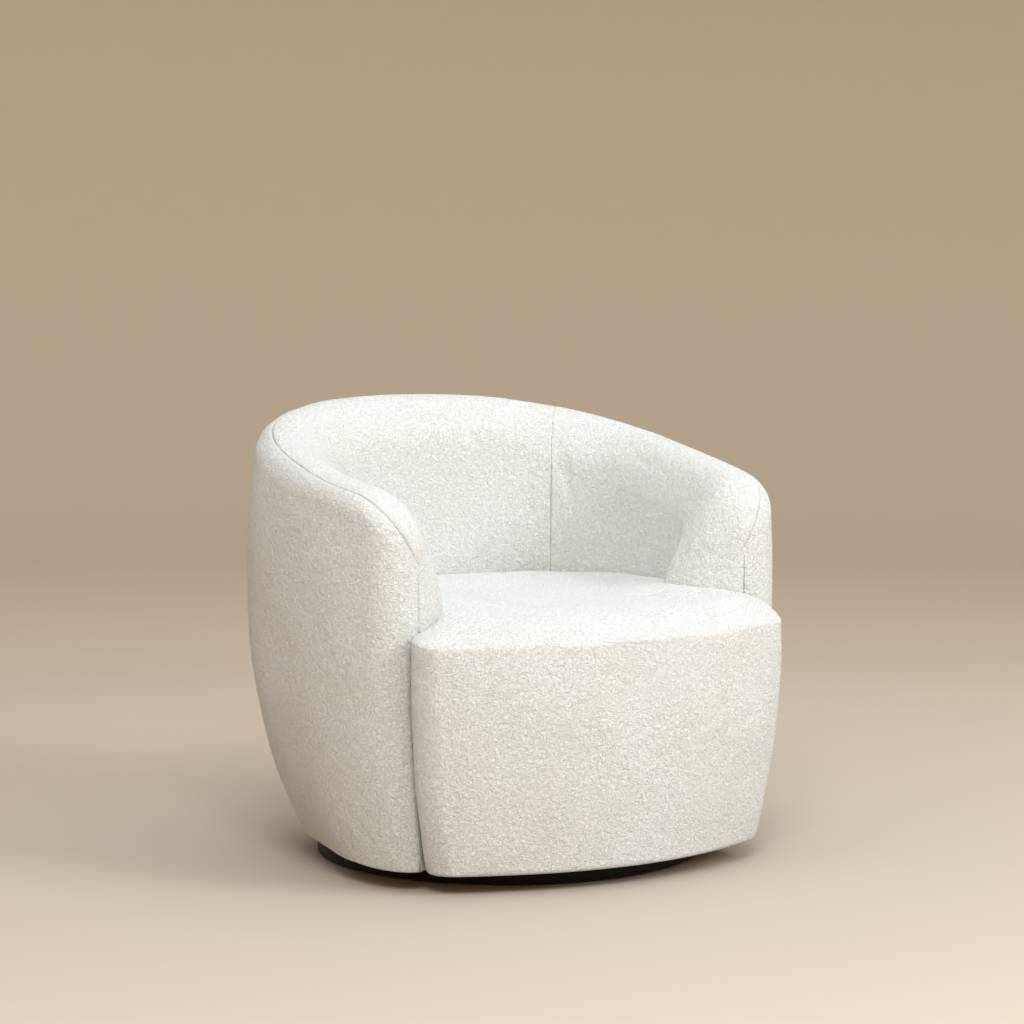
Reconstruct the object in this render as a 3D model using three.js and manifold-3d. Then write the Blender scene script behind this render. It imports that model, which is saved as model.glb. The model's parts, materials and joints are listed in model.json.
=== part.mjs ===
// A swivel tub chair: a fabric-covered tub of arms and back round a tight seat, on a round
// plinth with a ball-bearing swivel. Millimetres, +Z up, the seat faces -Y, and the origin is on
// the floor at the centre of the chair's box. Left and right are the sitter's, so left is +X.
import * as THREE from "three";
import { mergeVertices } from "three/addons/utils/BufferGeometryUtils.js";
import Module from "manifold-3d";

// Overall sizes
const WIDTH = 840;
const DEPTH = 768;
const BACK_HEIGHT = 735;
const ARM_HEIGHT = 605;
const COVER_BOTTOM = 34;

// Plan outline of the tub
const OUTLINE_CENTRE_Y = -24;
const OUTLINE_EXPONENT = 2.35; // 2 is an ellipse, more is squarer
const ARM_TOE_IN = 12; // how far past the seat front the sides would close
const ARM_SETBACK = 148.5; // arm tips behind the seat front
const ARM_THICKNESS = 120;
const BACK_THICKNESS = 140;
const PANEL_SEAM_ANGLE = THREE.MathUtils.degToRad(48); // where arm meets back, seen from the plan centre

// Section of the tub wall
const WIDEST_HEIGHT = 465;
const BOTTOM_TUCK_SIDE = 91; // how far the sides draw in at the bottom
const BOTTOM_TUCK_BACK = 62; // the same at the middle of the back
const BOTTOM_TUCK_FRONT = 38; // the same at the arm fronts
const TUCK_FULL_Y = 100; // the sides draw in fully behind this
const TUCK_POWER = 2.4;
const TOP_LEAN = 28;
const RIM_RADIUS = 44;
const RIM_RISE_POWER = 1.36;
const ARM_FRONT_ROLL = 100; // radius of the arm's top front corner, from the side
const SEAM_ROLL = 1.36; // radians round the rim from outside to the top seam
const SEAM_GAP = 0.025; // radians left open at that seam
const PANEL_PADDING = 14; // outer cover with its padding
const TOP_PADDING = 22;

// Seat
const SEAT_FRONT_HEIGHT = 382;
const SEAT_CROWN_HEIGHT = 418;
const SEAT_CROWN_RUN = 190; // distance from the front edge to the full height
const SEAT_BOTTOM = 311;
const SEAT_CLEARANCE = 5; // between the cushion and the apron's back
const APRON_OVERHANG = 31.7; // how far the apron reaches sideways past the middles of the arm tips
const APRON_SAG = 85; // how far the front bows
const APRON_CORNER = 42;
const APRON_TUCK_CENTRE = 18;
const APRON_TUCK_CORNER = 37;
const APRON_PADDING = 18;
const APRON_TOP = 370;

// Timber frame
const RIB_THICKNESS = 18;
const RIB_WIDTH = 38;
const RIB_CLEARANCE = 6; // to the padding, which slopes along the rib's thickness
const RAIL_CLEARANCE = 1.5; // to the padding, whose faces are flat between stations
const RIB_HEAD_ROOM = 1.5; // to the lowest underside of the rail on top
const RAIL_THICKNESS = 22;
const SEAT_RAIL_TOP = 298;
const SEAT_RAIL_BOTTOM = 238;
const TOP_RAIL_HEIGHT = 20;
const FRONT_BOARD_THICKNESS = 12;
const BASE_BOARD_BOTTOM = 36;
const BASE_BOARD_THICKNESS = 15;
const BASE_BOARD_HOLE = 22;

// Springs
const SPRING_PLACES = [-165, -55, 55, 165];
const WIRE_RADIUS = 1.9;
const SPRING_HALF_WIDTH = 24;
const RUNG_SHARE = 0.7; // the straight part of a rung
const SPRING_PITCH = 36;
const SPRING_ARCH = 3.5;
const CLIP_SHEET = 1.5;
const CLIP_ROOM = 2.6; // behind the wire
const CLIP_WIDTH = 30;
const CLIP_LENGTH = 14;
const DECK_CLOTH_THICKNESS = 1.2;

// Plinth and swivel
const PLINTH_RADIUS = 312;
const PLINTH_WALL = 22;
const PLINTH_TOP = 30;
const GLIDE_HEIGHT = 3;
const GLIDE_RADIUS = 10;
const GLIDE_COUNT = 6;
const DECK_TOP = 22;
const DECK_THICKNESS = 15;
const DECK_HOLE = 30;
const PLATE_THICKNESS = 2;
const PLATE_RADIUS = 152;
const PIVOT_RADIUS = 6;
const PIVOT_CLEARANCE = 0.5;
const PIVOT_HEAD_RADIUS = 13;
const PIVOT_HEAD_HEIGHT = 3.5;
const BALL_RADIUS = 4;
const BALL_COUNT = 12;
const BALL_CIRCLE = 132;
const BALL_CLEARANCE = 0.6;
const RACE_LIP = 2; // lip's thickness
const CAGE_HALF_WIDTH = 9;
const CAGE_THICKNESS = 1.4;
const SCREW_CIRCLE = 100;
const SCREW_RADIUS = 2.5;
const SCREW_HEAD_RADIUS = 5.5;
const SCREW_HEAD_HEIGHT = 2.5;
const SCREW_LENGTH = 12;
const BOLT_RADIUS = 3;
const BOLT_LENGTH = 15;
const SCREW_CLEARANCE = 0.4;

const GAP = 0.3; // between pieces that touch
const HALF_ARM = ARM_THICKNESS / 2;
const PAD_BOTTOM = 308; // inner pads stop above the springs' ends
const PAD_BACK = -12; // back face of the inner pads, from the wall's centre line
const RIB_INNER = -18.5; // the ribs' inner edge at the seat rails, from the same line
const ROUND_STEPS = 36;
const PLINTH_STEPS = 96;
const SMALL_STEPS = 8;

const BLACK_PAINT = { color: 0x15120f, roughness: 0.4, metalness: 0 };
const BLACK_NYLON = { color: 0x1c1b1a, roughness: 0.6, metalness: 0 };
const ZINC_STEEL = { color: 0xb9bcc0, roughness: 0.35, metalness: 1 };
const SPRING_STEEL = { color: 0x4d4f52, roughness: 0.4, metalness: 1 };
const PLYWOOD = { color: 0xc9a678, roughness: 0.75, metalness: 0 };
const HARDWOOD = { color: 0xb98e5e, roughness: 0.7, metalness: 0 };
const DECK_CLOTH = { color: 0x3c3a38, roughness: 0.95, metalness: 0 };
const BOUCLE = { color: 0xe4e1d8, roughness: 0.95, metalness: 0 };

const UP = new THREE.Vector3(0, 0, 1);
const chair = new THREE.Group();
const wasm = await Module();
wasm.setup();

// ---------------------------------------------------------------- geometry helpers

// Turns a closed surface's faces outwards, whichever way its points were listed.
function facingOut(geometry) {
  const p = geometry.getAttribute("position");
  const index = geometry.index.array;
  const [a, b, c] = [new THREE.Vector3(), new THREE.Vector3(), new THREE.Vector3()];
  let volume = 0;
  for (let i = 0; i < index.length; i += 3) {
    a.fromBufferAttribute(p, index[i]);
    b.fromBufferAttribute(p, index[i + 1]);
    c.fromBufferAttribute(p, index[i + 2]);
    volume += a.dot(b.cross(c));
  }
  if (volume < 0) index.reverse();
  return geometry;
}

// A closed surface from loops of points, one after another, with caps on the first and last.
function skin(loops, capTriangles) {
  const size = loops[0].length;
  const index = [];
  for (let i = 0; i + 1 < loops.length; i++) {
    for (let j = 0; j < size; j++) {
      const k = (j + 1) % size;
      const [a, b, c, d] = [i * size + j, i * size + k, (i + 1) * size + k, (i + 1) * size + j];
      index.push(a, b, c, a, c, d);
    }
  }
  const last = (loops.length - 1) * size;
  for (const [a, b, c] of capTriangles) {
    index.push(c, b, a, last + a, last + b, last + c);
  }
  const geometry = new THREE.BufferGeometry().setFromPoints(loops.flat());
  geometry.setIndex(new THREE.BufferAttribute(new Uint32Array(index), 1));
  return facingOut(geometry);
}

// A section drawn as [across, height] at each station, joined from station to station.
function sweep(stations, section, where = place) {
  const sections = stations.map(section);
  const loops = stations.map((station, i) => sections[i].map(([x, z]) => where(station, x, z)));
  const flat = sections[0].map(([x, z]) => new THREE.Vector2(x, z));
  const triangles = THREE.ShapeUtils.triangulateShape(flat, []);
  return skin(loops, turnedAsLoop(flat, triangles));
}

// Cap triangles that turn the same way as the loop that they close.
function turnedAsLoop(loop, triangles) {
  const turn = (points) => Math.sign(THREE.ShapeUtils.area(points));
  const corners = triangles[0].map((i) => loop[i]);
  if (turn(corners) === turn(loop)) return triangles;
  return triangles.map(([a, b, c]) => [c, b, a]);
}

// The point that lies x outward from a station's centre line, at height z.
function place(station, x, z) {
  return new THREE.Vector3(
    station.centre.x + station.normal.x * x,
    station.centre.y + station.normal.y * x,
    z,
  );
}

// A flat board of the given plan outline.
function board(outline, holes, bottom, thickness) {
  const shape = new THREE.Shape(outline);
  shape.holes = holes;
  const options = { depth: thickness, bevelEnabled: false, curveSegments: SMALL_STEPS };
  return new THREE.ExtrudeGeometry(shape, options).translate(0, 0, bottom);
}

function roundHole(x, y, radius) {
  return new THREE.Path().absarc(x, y, radius, 0, 2 * Math.PI, true);
}

// A turned piece about +Z from [radius, height] points; a ring's profile closes on itself.
function turned(profile, steps = ROUND_STEPS) {
  const points = profile.map(([r, z]) => new THREE.Vector2(r, z));
  if (profile[0][0] > 0) points.push(points[0].clone());
  const lathe = new THREE.LatheGeometry(points, steps);
  lathe.rotateX(Math.PI / 2);
  lathe.deleteAttribute("normal");
  lathe.deleteAttribute("uv");
  return facingOut(mergeVertices(lathe, 1e-3));
}

function toSolid(geometry) {
  const copy = geometry.clone();
  copy.deleteAttribute("normal");
  copy.deleteAttribute("uv");
  const merged = mergeVertices(copy, 1e-3);
  return new wasm.Manifold(
    new wasm.Mesh({
      numProp: 3,
      vertProperties: new Float32Array(merged.getAttribute("position").array),
      triVerts: new Uint32Array(merged.index.array),
    }),
  );
}

function toGeometry(solid) {
  const { vertProperties, triVerts } = solid.getMesh();
  const geometry = new THREE.BufferGeometry();
  geometry.setAttribute("position", new THREE.BufferAttribute(vertProperties, 3));
  geometry.setIndex(new THREE.BufferAttribute(triVerts, 1));
  return geometry;
}

function cut(geometry, tools) {
  let solid = toSolid(geometry);
  for (const tool of tools) solid = solid.subtract(toSolid(tool));
  return toGeometry(solid);
}

function joined(geometries) {
  const [first, ...rest] = geometries.map(toSolid);
  return toGeometry(rest.reduce((whole, next) => whole.add(next), first));
}

function add(name, geometry, finish) {
  const mesh = new THREE.Mesh(geometry, new THREE.MeshStandardMaterial(finish));
  mesh.name = name;
  chair.add(mesh);
  return mesh;
}

// ---------------------------------------------------------------- the tub's shape

const smooth = (t) => t * t * (3 - 2 * t);
const clamp01 = (t) => Math.min(1, Math.max(0, t));
const ARM_TIP_Y = ARM_SETBACK - DEPTH / 2;

// A point on the tub's outer plan outline at its widest, with the outward normal there.
function outline(angle) {
  const across = WIDTH / 2;
  const rear = DEPTH / 2 - OUTLINE_CENTRE_Y;
  const front = DEPTH / 2 + OUTLINE_CENTRE_Y + ARM_TOE_IN;
  const along = Math.sin(angle) >= 0 ? rear : front;
  const bend = (v) => Math.sign(v) * Math.abs(v) ** (2 / OUTLINE_EXPONENT);
  const x = across * bend(Math.cos(angle));
  const y = along * bend(Math.sin(angle));
  const slope = (v, half) => (Math.sign(v) * Math.abs(v / half) ** (OUTLINE_EXPONENT - 1)) / half;
  const normal = new THREE.Vector2(slope(x, across), slope(y, along)).normalize();
  return { point: new THREE.Vector2(x, y + OUTLINE_CENTRE_Y), normal };
}

function rimHeight(y) {
  const rearY = DEPTH / 2 - HALF_ARM;
  const u = clamp01((y - ARM_TIP_Y) / (rearY - ARM_TIP_Y));
  return ARM_HEIGHT + (BACK_HEIGHT - ARM_HEIGHT) * u ** RIM_RISE_POWER;
}

function tuckAt(y, normal) {
  const side = smooth(clamp01((y - ARM_TIP_Y) / (TUCK_FULL_Y - ARM_TIP_Y)));
  const back = clamp01(normal.y) ** 4;
  const tuck = BOTTOM_TUCK_FRONT + (BOTTOM_TUCK_SIDE - BOTTOM_TUCK_FRONT) * side;
  return tuck + (BOTTOM_TUCK_BACK - BOTTOM_TUCK_SIDE) * back;
}

// How far the outer face stands inside its widest line at height z.
function inset(z, tuck) {
  const below = Math.max(0, (WIDEST_HEIGHT - z) / (WIDEST_HEIGHT - COVER_BOTTOM));
  const above = Math.max(0, (z - WIDEST_HEIGHT) / (BACK_HEIGHT - WIDEST_HEIGHT));
  return tuck * below ** TUCK_POWER + TOP_LEAN * above ** 2;
}

// A station on the wall's centre line. behindTip is its distance behind the arm's tip.
function station(centre, normal, behindTip) {
  const nose = Math.max(0, HALF_ARM - behindTip);
  const half = Math.sqrt(HALF_ARM ** 2 - nose ** 2);
  const roll = Math.max(0, ARM_FRONT_ROLL - behindTip);
  const drop = ARM_FRONT_ROLL - Math.sqrt(ARM_FRONT_ROLL ** 2 - roll ** 2);
  const rear = clamp01(normal.y) ** 2;
  return {
    centre,
    normal,
    half,
    scale: half / HALF_ARM,
    innerHalf: half + (BACK_THICKNESS - ARM_THICKNESS) * rear,
    top: rimHeight(centre.y) - drop,
    tuck: tuckAt(centre.y + normal.y * HALF_ARM, normal),
  };
}

// The outline's angle where the arm's rounded front starts, found by halving the range.
function noseStartAngle() {
  let [ahead, behind] = [-Math.PI / 2, 0];
  for (let i = 0; i < 40; i++) {
    const angle = (ahead + behind) / 2;
    const { point, normal } = outline(angle);
    const tipY = point.y - HALF_ARM * normal.y - HALF_ARM;
    if (tipY < ARM_TIP_Y) ahead = angle;
    else behind = angle;
  }
  return behind;
}

const NOSE_STEPS = [1.5, 7, 17, 34];
const ARM_STEPS = 9;
const BACK_STEPS = 12;
const SPLIT_GAP = 0.001; // radians either side of the arm-to-back seam

function stationAt(angle, nose) {
  const { point, normal } = outline(angle);
  const centre = point.clone().addScaledVector(normal, -HALF_ARM);
  const behindTip = HALF_ARM + centre.distanceTo(nose);
  return station(centre, normal, behindTip);
}

// The left arm's stations, from its tip to the seam with the back.
function armStations() {
  const start = noseStartAngle();
  const { point, normal } = outline(start);
  const nose = point.clone().addScaledVector(normal, -HALF_ARM);
  const forward = new THREE.Vector2(normal.y, -normal.x);
  const rounded = NOSE_STEPS.map((s) =>
    station(nose.clone().addScaledVector(forward, HALF_ARM - s), normal, s),
  );
  const straight = [];
  for (let i = 0; i <= ARM_STEPS; i++) {
    const angle = start + ((PANEL_SEAM_ANGLE - SPLIT_GAP - start) * i) / ARM_STEPS;
    straight.push(stationAt(angle, nose));
  }
  return [...rounded, ...straight];
}

function backStations() {
  const nose = LEFT_ARM[NOSE_STEPS.length].centre;
  const start = PANEL_SEAM_ANGLE + SPLIT_GAP;
  const list = [];
  for (let i = 0; i <= BACK_STEPS; i++) {
    list.push(stationAt(start + ((Math.PI - 2 * start) * i) / BACK_STEPS, nose));
  }
  return list;
}

function mirrored(stations) {
  return stations.map((s) => ({
    ...s,
    centre: new THREE.Vector2(-s.centre.x, s.centre.y),
    normal: new THREE.Vector2(-s.normal.x, s.normal.y),
  }));
}

const LEFT_ARM = armStations();
const RIGHT_ARM = mirrored(LEFT_ARM);
const BACK = backStations();

// ---------------------------------------------------------------- upholstery

const SIDE_LEVELS = [0, 0.15, 0.3, 0.46, 0.62, 0.8, 1];
const ROLL_STEPS = 5;

// The outer face from the bottom edge to the top seam, a given depth inside the cover.
function outerLine(s, depth) {
  const shoulder = s.top - RIM_RADIUS;
  const across = (z) => s.half - (inset(z, s.tuck) + depth) * s.scale;
  const points = SIDE_LEVELS.map((level) => {
    const z = COVER_BOTTOM + (shoulder - COVER_BOTTOM) * level;
    return [across(z), z];
  });
  for (let i = 1; i <= ROLL_STEPS; i++) {
    const roll = (SEAM_ROLL * i) / ROLL_STEPS;
    points.push([
      across(shoulder) * Math.cos(roll),
      shoulder + (RIM_RADIUS - depth) * Math.sin(roll),
    ]);
  }
  return points;
}

// The outer panel's back face at height z, straight between its levels.
function panelBack(s, z) {
  const face = outerLine(s, PANEL_PADDING).slice(0, SIDE_LEVELS.length);
  const above = Math.max(1, face.findIndex((point) => point[1] > z));
  const [[x0, z0], [x1, z1]] = [face[above - 1], face[above]];
  return THREE.MathUtils.mapLinear(z, z0, z1, x0, x1);
}

function outerPanelSection(s) {
  return [...outerLine(s, 0), ...outerLine(s, PANEL_PADDING).reverse()];
}

// The inner face from the top seam over the rim and down, a given depth inside the cover.
function innerLine(s, depth, padBack) {
  const shoulder = s.top - RIM_RADIUS;
  const outer = s.half - (inset(shoulder, s.tuck) + depth) * s.scale;
  const inner = depth > 0 ? -padBack * s.scale : s.innerHalf;
  const start = SEAM_ROLL + SEAM_GAP;
  const points = [];
  for (let i = 0; i <= ROLL_STEPS + 1; i++) {
    const roll = start + ((Math.PI - start) * i) / (ROLL_STEPS + 1);
    const across = roll < Math.PI / 2 ? outer : inner;
    points.push([across * Math.cos(roll), shoulder + (RIM_RADIUS - depth) * Math.sin(roll)]);
  }
  points.push([-inner, PAD_BOTTOM]);
  return points;
}

function innerPadSection(s) {
  return [...innerLine(s, 0, 0), ...innerLine(s, TOP_PADDING, PAD_BACK).reverse()];
}

function tubUpholstery() {
  const parts = [
    ["left_arm", LEFT_ARM],
    ["back", BACK],
    ["right_arm", RIGHT_ARM],
  ];
  for (const [name, stations] of parts) {
    add(`outer_${name}_panel`, sweep(stations, outerPanelSection), BOUCLE);
    add(`inner_${name}_pad`, sweep(stations, innerPadSection), BOUCLE);
  }
}

// ---------------------------------------------------------------- seat front

const APRON_HALF_WIDTH = LEFT_ARM[0].centre.x + APRON_OVERHANG;
const BOW_STEPS = 12;
const CORNER_STEPS = 5;
const CORNER_END = THREE.MathUtils.degToRad(60); // how far the corners turn back to the arm tips
const FRONT_RETURN_Y = ARM_TIP_Y - 2 * GAP;

// Half the bow's length across, where its rounded corners start.
function bowHalf() {
  let x = APRON_HALF_WIDTH - APRON_CORNER;
  for (let i = 0; i < 20; i++) {
    x = APRON_HALF_WIDTH - APRON_CORNER * (1 - bowNormal(x).x);
  }
  return x;
}

function bowNormal(x) {
  return new THREE.Vector2((2 * APRON_SAG * x) / APRON_HALF_WIDTH ** 2, -1).normalize();
}

// Stations along the bowed front, from the right corner's return round to the left one's.
function frontStations() {
  const half = bowHalf();
  const first = bowNormal(half);
  const middle = new THREE.Vector2(half, frontY(half)).addScaledVector(first, -APRON_CORNER);
  const start = Math.atan2(first.y, first.x);
  const left = [];
  for (let i = 1; i <= CORNER_STEPS; i++) {
    const angle = start + ((CORNER_END - start) * i) / CORNER_STEPS;
    const normal = new THREE.Vector2(Math.cos(angle), Math.sin(angle));
    left.push({ centre: middle.clone().addScaledVector(normal, APRON_CORNER), normal });
  }
  const bow = [];
  for (let i = 0; i <= BOW_STEPS; i++) {
    const x = half * ((2 * i) / BOW_STEPS - 1);
    bow.push({ centre: new THREE.Vector2(x, frontY(x)), normal: bowNormal(x) });
  }
  return [...mirrored(left).reverse(), ...bow, ...left];
}

function frontY(x) {
  return -DEPTH / 2 + APRON_SAG * (x / APRON_HALF_WIDTH) ** 2;
}

const FRONT = frontStations();

// Share of the apron's tuck that it has reached at height z, from 0 at the seam to 1 at the hem.
function apronTuck(z) {
  return ((SEAT_FRONT_HEIGHT - z) / (SEAT_FRONT_HEIGHT - COVER_BOTTOM)) ** TUCK_POWER;
}

// The point x outward from the front's widest line after a share of the tuck, at height z.
function placeTucked(s, share, x, z) {
  const narrowing = 1 - (APRON_TUCK_CORNER * share) / APRON_HALF_WIDTH;
  const y = s.centre.y + APRON_TUCK_CENTRE * share + s.normal.y * x;
  return new THREE.Vector3(s.centre.x * narrowing + s.normal.x * x, Math.min(y, FRONT_RETURN_Y), z);
}

const placeOnApron = (s, x, z) => placeTucked(s, apronTuck(z), x, z);
const placeBehindHem = (s, x, z) => placeTucked(s, 1, x, z);

function apronSection() {
  const levels = SIDE_LEVELS.map((level) => COVER_BOTTOM + (APRON_TOP - COVER_BOTTOM) * level);
  const face = levels.map((z) => [0, z]);
  const back = levels.map((z) => [-APRON_PADDING, z]);
  return [...face, ...back.reverse()];
}

// Plan outline of the seat: the bowed front, then round the arms and back inside the pads.
function seatOutline(tuckShare, frontDepth, clearance) {
  const front = FRONT.map((s) => placeTucked(s, tuckShare, -frontDepth, 0));
  const inner = (s) => s.centre.clone().addScaledVector(s.normal, -s.innerHalf - clearance);
  const left = LEFT_ARM.map(inner);
  const back = BACK.slice(1, -1).map(inner);
  const right = RIGHT_ARM.map(inner).reverse();
  return [...front, ...left, ...back, ...right];
}

function seatHeight(point) {
  const fromFront = point.y - frontY(point.x);
  const u = clamp01(fromFront / SEAT_CROWN_RUN);
  return SEAT_FRONT_HEIGHT + (SEAT_CROWN_HEIGHT - SEAT_FRONT_HEIGHT) * (1 - (1 - u) ** 2);
}

function seatCushion() {
  const narrow = seatOutline(apronTuck(SEAT_BOTTOM), APRON_PADDING + SEAT_CLEARANCE, 1);
  const full = seatOutline(0, 0, 1);
  const middle = new THREE.Vector2(0, ARM_TIP_Y + APRON_SAG);
  const level = (points, z) => points.map((p) => new THREE.Vector3(p.x, p.y, z));
  const crown = (share) =>
    full.map((p) => {
      const q = middle.clone().lerp(p, share);
      return new THREE.Vector3(q.x, q.y, seatHeight(q));
    });
  const loops = [
    level(narrow, SEAT_BOTTOM),
    level(narrow, APRON_TOP + GAP),
    level(full, APRON_TOP + GAP),
    crown(1),
    crown(0.85),
    crown(0.6),
    crown(0.3),
  ];
  const triangles = THREE.ShapeUtils.triangulateShape(full, []);
  return skin(loops, turnedAsLoop(full, triangles));
}

function seatUpholstery() {
  add("front_apron_panel", sweep(FRONT, apronSection, placeOnApron), BOUCLE);
  add("seat_cushion", seatCushion(), BOUCLE);
  const cloth = seatOutline(1, APRON_PADDING + FRONT_BOARD_THICKNESS, 4);
  const bottom = SEAT_BOTTOM - GAP - DECK_CLOTH_THICKNESS;
  add("seat_deck_cloth", board(cloth, [], bottom, DECK_CLOTH_THICKNESS), DECK_CLOTH);
}

// ---------------------------------------------------------------- timber frame

const BOARD_TOP = BASE_BOARD_BOTTOM + BASE_BOARD_THICKNESS;

const ribOuter = (s, z) => panelBack(s, z) - RIB_CLEARANCE;

// The lowest underside of the sloping top rail within a rib's thickness of a station.
function railUnderside(stations, i) {
  const under = (s) => s.top - TOP_PADDING - 2 * RAIL_CLEARANCE - TOP_RAIL_HEIGHT;
  const beside = [stations[i - 1], stations[i + 1]].map((other) => {
    const share = RIB_THICKNESS / stations[i].centre.distanceTo(other.centre);
    return THREE.MathUtils.lerp(under(stations[i]), under(other), share);
  });
  return Math.min(under(stations[i]), ...beside);
}

// A plywood rib that stands on the base board and follows the wall's outer curve.
function rib(stations, i) {
  const s = stations[i];
  const bottom = BOARD_TOP + GAP;
  const top = railUnderside(stations, i) - RIB_HEAD_ROOM;
  const panelLevels = outerLine(s, PANEL_PADDING).slice(0, SIDE_LEVELS.length);
  const between = panelLevels.map(([, z]) => z).filter((z) => z > bottom && z < top);
  const outer = [bottom, ...between, top].map((z) => [ribOuter(s, z), z]);
  const low = [];
  for (let i = 0; i < 3; i++) low.push(THREE.MathUtils.lerp(bottom, SEAT_RAIL_BOTTOM, i / 3));
  const inner = low.map((z) => [Math.min(RIB_INNER, ribOuter(s, z) - RIB_WIDTH), z]);
  inner.push([RIB_INNER, SEAT_RAIL_BOTTOM], [RIB_INNER, SEAT_RAIL_TOP]);
  for (const z of [SEAT_RAIL_TOP, top]) inner.push([PAD_BACK + RAIL_CLEARANCE, z]);
  const points = [...outer, ...inner.reverse()];
  const shape = new THREE.Shape(points.map(([x, z]) => new THREE.Vector2(x, z)));
  const geometry = new THREE.ExtrudeGeometry(shape, { depth: RIB_THICKNESS, bevelEnabled: false });
  geometry.translate(0, 0, -RIB_THICKNESS / 2);
  const across = new THREE.Vector3(s.normal.x, s.normal.y, 0);
  const along = new THREE.Vector3().crossVectors(across, UP);
  const basis = new THREE.Matrix4().makeBasis(across, UP, along);
  basis.setPosition(s.centre.x, s.centre.y, 0);
  return geometry.applyMatrix4(basis);
}

function ribs() {
  const frontRib = NOSE_STEPS.length + 1;
  const middleRib = NOSE_STEPS.length + Math.round(ARM_STEPS / 2);
  const rearRib = LEFT_ARM.length - 2;
  const sides = [
    ["left", LEFT_ARM],
    ["right", RIGHT_ARM],
  ];
  for (const [side, stations] of sides) {
    add(`rib_${side}_front`, rib(stations, frontRib), PLYWOOD);
    add(`rib_${side}_middle`, rib(stations, middleRib), PLYWOOD);
    add(`rib_${side}_rear`, rib(stations, rearRib), PLYWOOD);
  }
  add("rib_back_centre", rib(BACK, BACK_STEPS / 2), PLYWOOD);
}

function boxSection(inner, outer, low, high) {
  return () => [
    [inner, low],
    [outer, low],
    [outer, high],
    [inner, high],
  ];
}

// The rail under the rim fills what the padding leaves at its own top edge.
function topRailSection(s) {
  const high = s.top - TOP_PADDING - 2 * RAIL_CLEARANCE;
  const shoulder = s.top - RIM_RADIUS;
  const narrowing = (padding) => Math.sqrt(1 - ((high - shoulder) / (RIM_RADIUS - padding)) ** 2);
  const panel = s.half - inset(shoulder, s.tuck) - PANEL_PADDING;
  const outer = panel * narrowing(PANEL_PADDING) - RAIL_CLEARANCE;
  const inner = PAD_BACK * narrowing(TOP_PADDING) + RAIL_CLEARANCE;
  return boxSection(inner, outer, high - TOP_RAIL_HEIGHT, high)();
}

function tubRails() {
  const seatRail = boxSection(
    RIB_INNER - GAP - RAIL_THICKNESS,
    RIB_INNER - GAP,
    SEAT_RAIL_BOTTOM,
    SEAT_RAIL_TOP,
  );
  const nose = NOSE_STEPS.length;
  add("left_top_rail", sweep(LEFT_ARM.slice(nose), topRailSection), HARDWOOD);
  add("back_top_rail", sweep(BACK, topRailSection), HARDWOOD);
  add("right_top_rail", sweep(RIGHT_ARM.slice(nose), topRailSection), HARDWOOD);
  add("left_seat_rail", sweep(LEFT_ARM.slice(nose), seatRail), HARDWOOD);
  add("back_seat_rail", sweep(BACK, seatRail), HARDWOOD);
  add("right_seat_rail", sweep(RIGHT_ARM.slice(nose), seatRail), HARDWOOD);
}

const FRONT_BOARD_FACE = APRON_PADDING + 2 * GAP;
const BOW = FRONT.slice(CORNER_STEPS, -CORNER_STEPS);

function frontFrame() {
  const face = -FRONT_BOARD_FACE;
  const behind = face - FRONT_BOARD_THICKNESS;
  const boardSection = boxSection(behind, face, BOARD_TOP + GAP, SEAT_RAIL_TOP);
  add("front_board", sweep(BOW, boardSection, placeBehindHem), PLYWOOD);
  const railSection = boxSection(
    behind - GAP - RAIL_THICKNESS,
    behind - GAP,
    SEAT_RAIL_BOTTOM,
    SEAT_RAIL_TOP,
  );
  add("front_seat_rail", sweep(BOW, railSection, placeBehindHem), HARDWOOD);
}

// A block that ties a side rail's front end to the front board.
function cornerBlock(side) {
  const arm = LEFT_ARM[NOSE_STEPS.length];
  const railEnd = place(arm, RIB_INNER - GAP, 0);
  const railInner = place(arm, RIB_INNER - GAP - RAIL_THICKNESS, 0);
  const last = BOW[BOW.length - 1];
  const boardEnd = placeBehindHem(last, -FRONT_BOARD_FACE - FRONT_BOARD_THICKNESS - GAP, 0);
  const forward = new THREE.Vector3(arm.normal.y, -arm.normal.x, 0).multiplyScalar(GAP);
  const corners = [
    railEnd.clone().add(forward),
    railInner.clone().add(forward),
    new THREE.Vector3(boardEnd.x - 34, boardEnd.y + 36, 0),
    new THREE.Vector3(boardEnd.x + 4, boardEnd.y + 14, 0),
  ];
  const outlinePoints = corners.map((p) => new THREE.Vector2(p.x * side, p.y));
  const height = SEAT_RAIL_TOP - SEAT_RAIL_BOTTOM;
  return board(outlinePoints, [], SEAT_RAIL_BOTTOM, height);
}

function baseBoard() {
  const inside = (s) => {
    const x = panelBack(s, BASE_BOARD_BOTTOM) - RAIL_CLEARANCE;
    return s.centre.clone().addScaledVector(s.normal, x);
  };
  const front = FRONT.map((s) => placeBehindHem(s, -FRONT_BOARD_FACE, 0));
  const nose = NOSE_STEPS.length;
  const outlinePoints = [
    ...front,
    ...LEFT_ARM.slice(nose).map(inside),
    ...BACK.slice(1, -1).map(inside),
    ...RIGHT_ARM.slice(nose).map(inside).reverse(),
  ];
  const holes = [roundHole(0, 0, BASE_BOARD_HOLE)];
  for (const [x, y] of boltPlaces()) holes.push(roundHole(x, y, BOLT_RADIUS + SCREW_CLEARANCE));
  return board(outlinePoints, holes, BASE_BOARD_BOTTOM, BASE_BOARD_THICKNESS);
}

function timberFrame() {
  add("base_board", baseBoard(), PLYWOOD);
  ribs();
  tubRails();
  frontFrame();
  add("corner_block_left", cornerBlock(1), HARDWOOD);
  add("corner_block_right", cornerBlock(-1), HARDWOOD);
}

// ---------------------------------------------------------------- springs

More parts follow.
